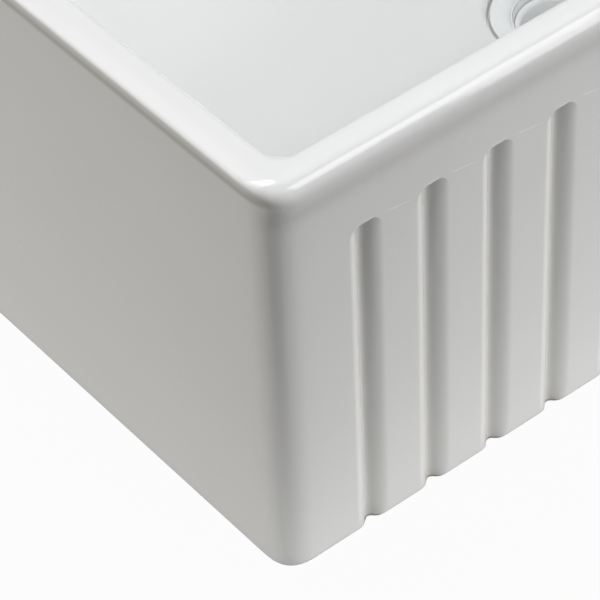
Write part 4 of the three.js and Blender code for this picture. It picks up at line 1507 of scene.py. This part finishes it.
def hang_lights(settings):
    """The soft lights, and a pale sky that only the camera sees."""
    for name, turn, lift, size, tint in LIGHTS:
        hang_light(name, turn, lift, size, tint, settings)
    world = bpy.data.worlds.new("studio")
    bpy.context.scene.world = world
    world.use_nodes = True
    world.node_tree.nodes["Background"].inputs["Color"].default_value = SKY
    seen = world.cycles_visibility
    seen.diffuse = seen.glossy = seen.transmission = False


def set_up_camera(settings):
    """The camera of the photograph, aimed at a point in the plane of the apron."""
    turn, lift, roll = settings.azimuth, settings.elevation, settings.roll
    ahead = Vector((np.sin(turn) * np.cos(lift), np.cos(turn) * np.cos(lift), -np.sin(lift)))
    level = Vector((np.cos(turn), -np.sin(turn), 0.0))
    upright = level.cross(ahead)
    right = np.cos(roll) * level + np.sin(roll) * upright
    up = -np.sin(roll) * level + np.cos(roll) * upright
    aim = Vector((CAD_BOX[0].x + settings.aim_x, CAD_BOX[0].y + settings.aim_y, settings.aim_z))
    lens = bpy.data.cameras.new("camera")
    lens.sensor_fit, lens.sensor_width, lens.lens = "HORIZONTAL", 36.0, settings.lens
    lens.clip_start, lens.clip_end = 0.05, 60.0
    camera = link("camera", lens)
    turned_to = Matrix((right, up, -ahead)).transposed().to_4x4()
    camera.matrix_world = Matrix.Translation(aim - ahead * settings.distance) @ turned_to
    bpy.context.scene.camera = camera


# ---------------------------------------------------------------- panel, registration and main


class SINK_PT_pieces(Panel):
    """Lists the pieces and the studio, with the sizes and colours they are made from"""

    bl_idname = "SINK_PT_pieces"
    bl_label = "Farmhouse sink"
    bl_space_type = "VIEW_3D"
    bl_region_type = "UI"
    bl_category = "Sink"

    def draw(self, context):
        layout = self.layout
        for operator in OPERATORS:
            layout.operator(operator.bl_idname)
        for _, name in GROUPS:
            group = getattr(context.scene, name)
            box = layout.box()
            for prop in group.bl_rna.properties:
                if prop.identifier not in ("name", "rna_type"):
                    box.prop(group, prop.identifier)


OPERATORS = (SINK_OT_casting, SINK_OT_strainer, SINK_OT_fixings, SINK_OT_basket, SINK_OT_stopper, SINK_OT_stage)
GROUPS = (
    (SinkCastingSizes, "sink_casting"),
    (SinkWasteSizes, "sink_waste"),
    (SinkColours, "sink_colours"),
    (SinkStageSettings, "sink_stage"),
)


def register():
    for group, name in GROUPS:
        bpy.utils.register_class(group)
        setattr(bpy.types.Scene, name, PointerProperty(type=group))
    for made in (*OPERATORS, SINK_PT_pieces):
        bpy.utils.register_class(made)


def unregister():
    for made in (SINK_PT_pieces, *reversed(OPERATORS)):
        bpy.utils.unregister_class(made)
    for group, name in reversed(GROUPS):
        delattr(bpy.types.Scene, name)
        bpy.utils.unregister_class(group)


def main():
    register()
    bpy.ops.farmhouse_sink.casting()
    bpy.ops.farmhouse_sink.strainer()
    bpy.ops.farmhouse_sink.fixings()
    bpy.ops.farmhouse_sink.basket()
    bpy.ops.farmhouse_sink.stopper()
    bpy.ops.farmhouse_sink.stage()


if __name__ == "__main__":
    main()
